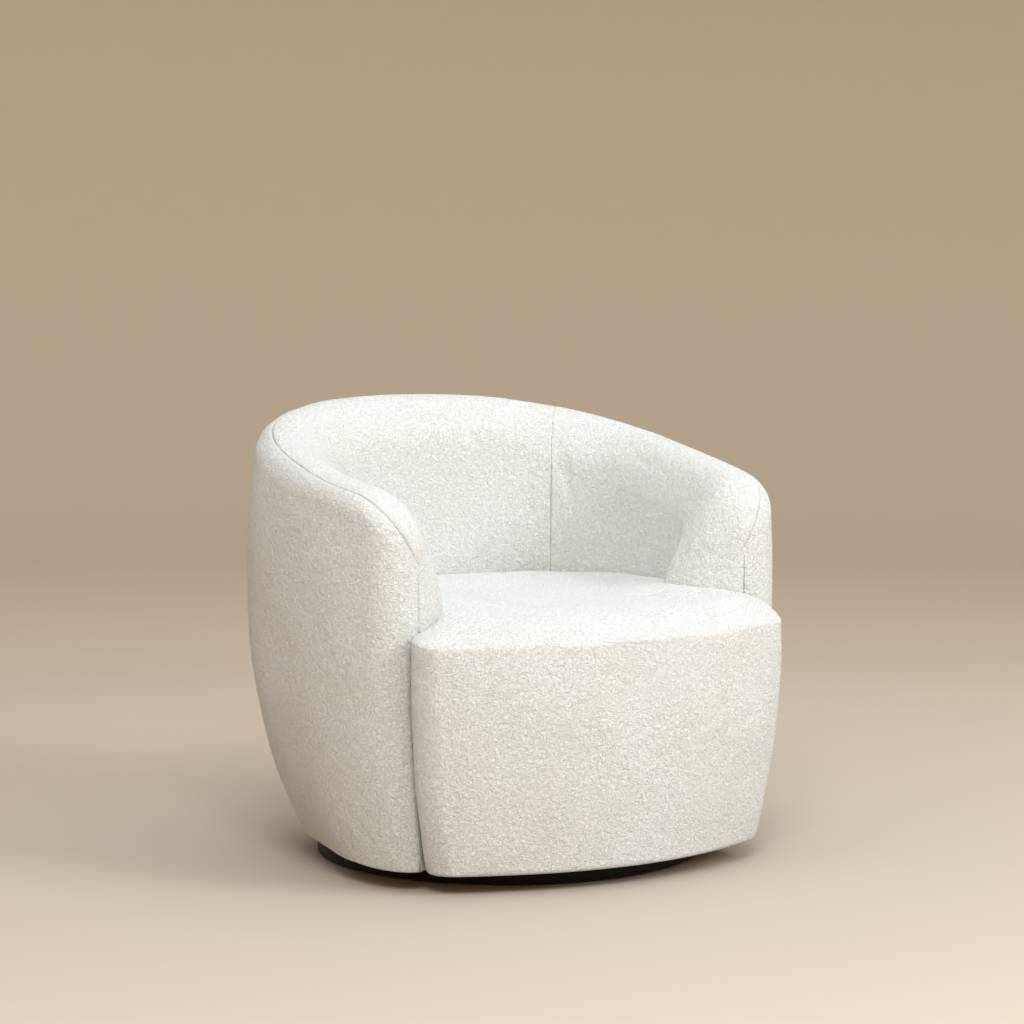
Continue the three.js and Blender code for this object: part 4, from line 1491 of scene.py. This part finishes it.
        left = inside(arm)
        rear = inside(back)[1:-1]
        right = inside(arm.mirrored())[::-1]
        points = np.concatenate([front, left, rear, right])
        near_tip = 1 - smooth(clamp01((points[:, 1] - self.tub.tip_y) / self.sewn_fade))
        beside = self.sewn_at_tip * near_tip[len(front) :]
        sewn = np.concatenate([np.ones(len(front)), beside])
        return points, sewn

    def seat_height(self, points: np.ndarray) -> np.ndarray:
        """Height of the seat's soft top over a plan point."""
        gap = points[..., 1] - self.front_y(points[..., 0])
        u = clamp01(gap / self.crown_run)
        crown = (self.crown_height - self.front_height) * (1 - (1 - u) ** 2)
        return self.front_height + crown

    def eased(self, height: np.ndarray, reach: np.ndarray, step: float) -> np.ndarray:
        """Heights evened out round the seat, away from its edge.

        Args:
            height: heights on the round grid, one row a ray from the outline inward.
            reach: distances inward from the outline.
            step: distance between rows at the outline.

        Returns:
            The eased heights.
        """
        rows = int(self.ease_width / step)
        even = height
        for _ in range(2):
            even = np.mean([np.roll(even, k, axis=0) for k in range(-rows, rows + 1)], axis=0)
        share = smooth(clamp01((reach - self.ease_start) / self.ease_run))
        return height + (even - height) * share

    def seat(self, step: float, boucle: Boucle) -> bpy.types.Object:
        """The tight seat: a crowned top that turns down into the seam and the crevices.

        Args:
            step: distance between points in mm.
            boucle: the relief of the fabric.

        Returns:
            The new object.
        """
        outline, sewn = self.seat_outline(step)
        middle = np.array([0.0, self.tub.tip_y + self.sag])
        inward = spaced(self.gather_radius, step, True, False)[:-1]
        shares = 1.0 - inward
        rim = outline[:, None, :] - middle
        plan = middle + rim * shares[None, :, None]
        reach = np.linalg.norm(rim, axis=2) * (1 - shares[None, :])
        height = self.seat_height(plan)
        fall = 1 - sewn[:, None]
        bulge = self.edge_puff * np.sin(0.5 * math.pi * clamp01(reach / self.edge_puff_run))
        fade = clamp01((reach - self.edge_puff_run) / self.edge_puff_fade)
        beside = smooth(clamp01((np.abs(plan[:, :, 0]) - self.corner_start) / self.corner_run))
        beside *= 1 - smooth(clamp01((plan[:, :, 1] - self.tub.tip_y) / self.corner_depth))
        lift = height - self.front_height + bulge * (1 - smooth(fade))
        calm = np.where(plan[:, :, 0] < 0, self.right_corner_calm, self.left_corner_calm)
        height = self.eased(self.front_height + lift * (1 - calm * beside), reach, step)
        height -= fall * rounded_over(reach, self.crevice_radius, self.crevice_depth)
        height -= (1 - fall) * rounded_over(reach, self.lip_radius, self.lip_depth)
        skin = np.concatenate([plan, height[:, :, None]], axis=2)
        skin = np.concatenate([skin, skin[:1]], axis=0)
        low = skin.copy()
        far = np.linalg.norm(outline - middle, axis=1)
        drawn = middle + (outline - middle) * (1 - self.skirt_inset / far)[:, None]
        low[:, 0, :2] = np.concatenate([drawn, drawn[:1]])
        low[:, :, 2] = self.seat_bottom
        cover = Cover("tight_seat_cushion", skin, low, [], puff=self.puff, seed=61, ring=True)
        return self.closed_seat(cover, boucle)

    def closed_seat(self, cover: Cover, boucle: Boucle) -> bpy.types.Object:
        """Closes the round grid of the seat with a skirt, a bottom and a middle patch.

        Args:
            cover: the seat as a grid that goes once round.
            boucle: the relief of the fabric.

        Returns:
            The new object.
        """
        face = cover.dressed(boucle)
        face[-1] = face[0]
        face[:, 0, 2] = cover.skin[:, 0, 2] - 1.0
        rows = face.shape[0] - 1
        points = face.shape[1]
        skirt = cover.back[:-1, 0]
        middle_top = face[:-1, -1].mean(axis=0)
        middle_low = skirt.mean(axis=0)
        vertices = np.concatenate([face[:-1].reshape(-1, 3), skirt, [middle_top, middle_low]])
        first = rows * points
        faces: list[tuple[int, ...]] = []
        for r in range(rows):
            a = r * points
            b = ((r + 1) % rows) * points
            faces += [(a + p, a + p + 1, b + p + 1, b + p) for p in range(points - 1)]
            faces.append((a + points - 1, first + rows, b + points - 1))
            c, d = first + r, first + (r + 1) % rows
            faces.append((a, b, d, c))
            faces.append((c, d, first + rows + 1))
        return mesh_object(cover.name, vertices * MM, faces)

    def build(self, fabric: bpy.types.Material, boucle: Boucle, step: float) -> None:
        """Makes, dresses and places the apron and the seat.

        Args:
            fabric: the boucle.
            boucle: its relief.
            step: distance between points in mm.
        """
        apron = self.apron(step).build(boucle)
        upholster(apron, fabric, 0.85, "front_apron_panel")
        seat = self.seat(step, boucle)
        upholster(seat, fabric, 0.85, "seat_cushion")


# ------------------------------------------------------------------ carried-over parts


@dataclass
class HardParts:
    """The plinth, swivel, springs and timber that keep their own solids."""

    finishes: dict[Slot, Finish] = field(
        default_factory=lambda: {
            Slot.PAINT: PaintedWood(),
            Slot.NYLON: MouldedNylon(),
            Slot.ZINC: BareSteel(),
            Slot.SPRING: BareSteel("steel_oil_tempered_wire", "#6A6660", "#3B3733", 0.42, 3.0),
            Slot.PLYWOOD: SawnTimber("birch_plywood_bare", "#D2B184", "#B58E5E", 14.0),
            Slot.HARDWOOD: SawnTimber("beech_sawn_bare", "#C39A68", "#9C7448", 8.0),
            Slot.DECK: WovenDeckCloth(),
        }
    )

    def dress(self) -> None:
        """Gives every carried-over solid its material."""
        materials = {slot.value: finish.material() for slot, finish in self.finishes.items()}
        slots = node_slots()
        for name, obj in frame["nodes"].items():
            wanted = materials.get(slots.get(name, ""))
            if wanted is None:
                continue
            if not obj.material_slots:
                obj.data.materials.append(wanted)
            for place in obj.material_slots:
                place.material = wanted
            LOG.info("%s: %s", name, wanted.name)


def node_slots() -> dict[str, str]:
    """The finish that the record gives each node."""
    return {part["node"]: part["material_slot"] for part in frame["record"]["subparts"]}


# ------------------------------------------------------------------ studio


@dataclass
class Studio:
    """A round sweep of paper, soft lamps and the camera."""

    azimuth: float = -32.76
    elevation: float = 4.28
    distance: float = 4.703
    lens: float = 100.6
    sensor: float = 36.0
    shift_right: float = 0.0067
    shift_up: float = 0.5508
    aim_height: float = 0.35
    sweep_radius: float = 8.0
    sweep_curve: float = 2.5
    wall_height: float = 6.0

    def sweep(self) -> None:
        """The paper floor, curved up into a wall all round."""
        curve = [
            (
                self.sweep_radius - self.sweep_curve * (1 - math.sin(a)),
                self.sweep_curve * (1 - math.cos(a)),
            )
            for a in np.linspace(0, math.pi / 2, 13)
        ]
        profile = [(r, 0.0) for r in np.linspace(0.0, curve[0][0], 12)[:-1]] + curve
        profile.append((self.sweep_radius, self.wall_height))
        steps = 96
        work = bmesh.new()
        rings = []
        for radius, height in profile:
            if radius == 0.0:
                rings.append([work.verts.new((0, 0, 0))] * steps)
                continue
            angles = [2 * math.pi * i / steps for i in range(steps)]
            rings.append(
                [
                    work.verts.new((radius * math.cos(a), radius * math.sin(a), height))
                    for a in angles
                ]
            )
        for low, high in zip(rings, rings[1:]):
            for i in range(steps):
                j = (i + 1) % steps
                ring = [low[i], high[i], high[j], low[j]]
                work.faces.new(list(dict.fromkeys(ring)))
        mesh = bpy.data.meshes.new("paper_sweep")
        work.to_mesh(mesh)
        work.free()
        mesh.shade_smooth()
        made = bpy.data.objects.new("paper_sweep", mesh)
        bpy.context.scene.collection.objects.link(made)
        made.data.materials.append(StudioPaper().material())
        made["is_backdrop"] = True

    def lamp(
        self, name: str, place: Sequence[float], size: float, power: float, colour: str
    ) -> None:
        """A square soft lamp aimed at the chair.

        Args:
            name: the lamp's name.
            place: where it hangs, in metres.
            size: its width in metres.
            power: its power in watts.
            colour: its sRGB hex colour.
        """
        data = bpy.data.lights.new(name, "AREA")
        data.shape = "SQUARE"
        data.size = size
        data.energy = power
        data.color = linear(colour)[:3]
        made = bpy.data.objects.new(name, data)
        made.location = place
        aim = Vector((0.0, 0.0, self.aim_height)) - Vector(place)
        made.rotation_euler = aim.to_track_quat("-Z", "Y").to_euler()
        bpy.context.scene.collection.objects.link(made)

    def sky(self, strength: float, colour: str) -> None:
        """Even light from all round.

        Args:
            strength: how strong it is.
            colour: its sRGB hex colour.
        """
        world = bpy.data.worlds.new("studio_air")
        world.use_nodes = True
        ground = world.node_tree.nodes["Background"]
        ground.inputs["Color"].default_value = linear(colour)
        ground.inputs["Strength"].default_value = strength
        bpy.context.scene.world = world

    def camera(self) -> None:
        """Places the camera level with the arms, a little to the sitter's right."""
        az, el = math.radians(self.azimuth), math.radians(self.elevation)
        back = Vector((math.sin(az) * math.cos(el), -math.cos(az) * math.cos(el), math.sin(el)))
        right = Vector((math.cos(az), math.sin(az), 0.0))
        up = back.cross(right)
        data = bpy.data.cameras.new("studio_camera")
        data.lens = self.lens
        data.sensor_width = self.sensor
        made = bpy.data.objects.new("studio_camera", data)
        made.location = back * self.distance + right * self.shift_right + up * self.shift_up
        made.rotation_euler = (-back).to_track_quat("-Z", "Y").to_euler()
        bpy.context.scene.collection.objects.link(made)
        bpy.context.scene.camera = made

    def build(self) -> None:
        """Makes the whole studio."""
        self.camera()
        self.sweep()
        self.sky(0.84, "#EFF4FB")
        self.lamp("key_softbox", (2.0, -3.3, 2.3), 1.8, 108.0, "#EFF7FF")
        self.lamp("side_softbox", (-1.7, -2.8, 3.0), 1.4, 84.0, "#F4F8FF")
        self.lamp("top_softbox", (0.1, 0.0, 3.6), 2.2, 26.0, "#FFFFFF")
        settings = bpy.context.scene.view_settings
        settings.view_transform = "Standard"


# ------------------------------------------------------------------ making everything


def main() -> None:
    """Builds the chair and the studio."""
    logging.basicConfig(level=logging.INFO, format="%(message)s")
    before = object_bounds()
    Studio().build()
    step = FINE_STEP
    boucle = Boucle()
    fabric = BoucleFabric().material()
    low, high = before
    tub = TubShape(
        width=(high.x - low.x) / MM,
        depth=(high.y - low.y) / MM,
        back_height=high.z / MM,
        cover_bottom=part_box("outer_back_panel")[0].z / MM,
    )
    TubUpholstery(tub, boucle, step).build(fabric)
    SeatFront(tub).build(fabric, boucle, step)
    HardParts().dress()


if __name__ == "__main__":
    main()
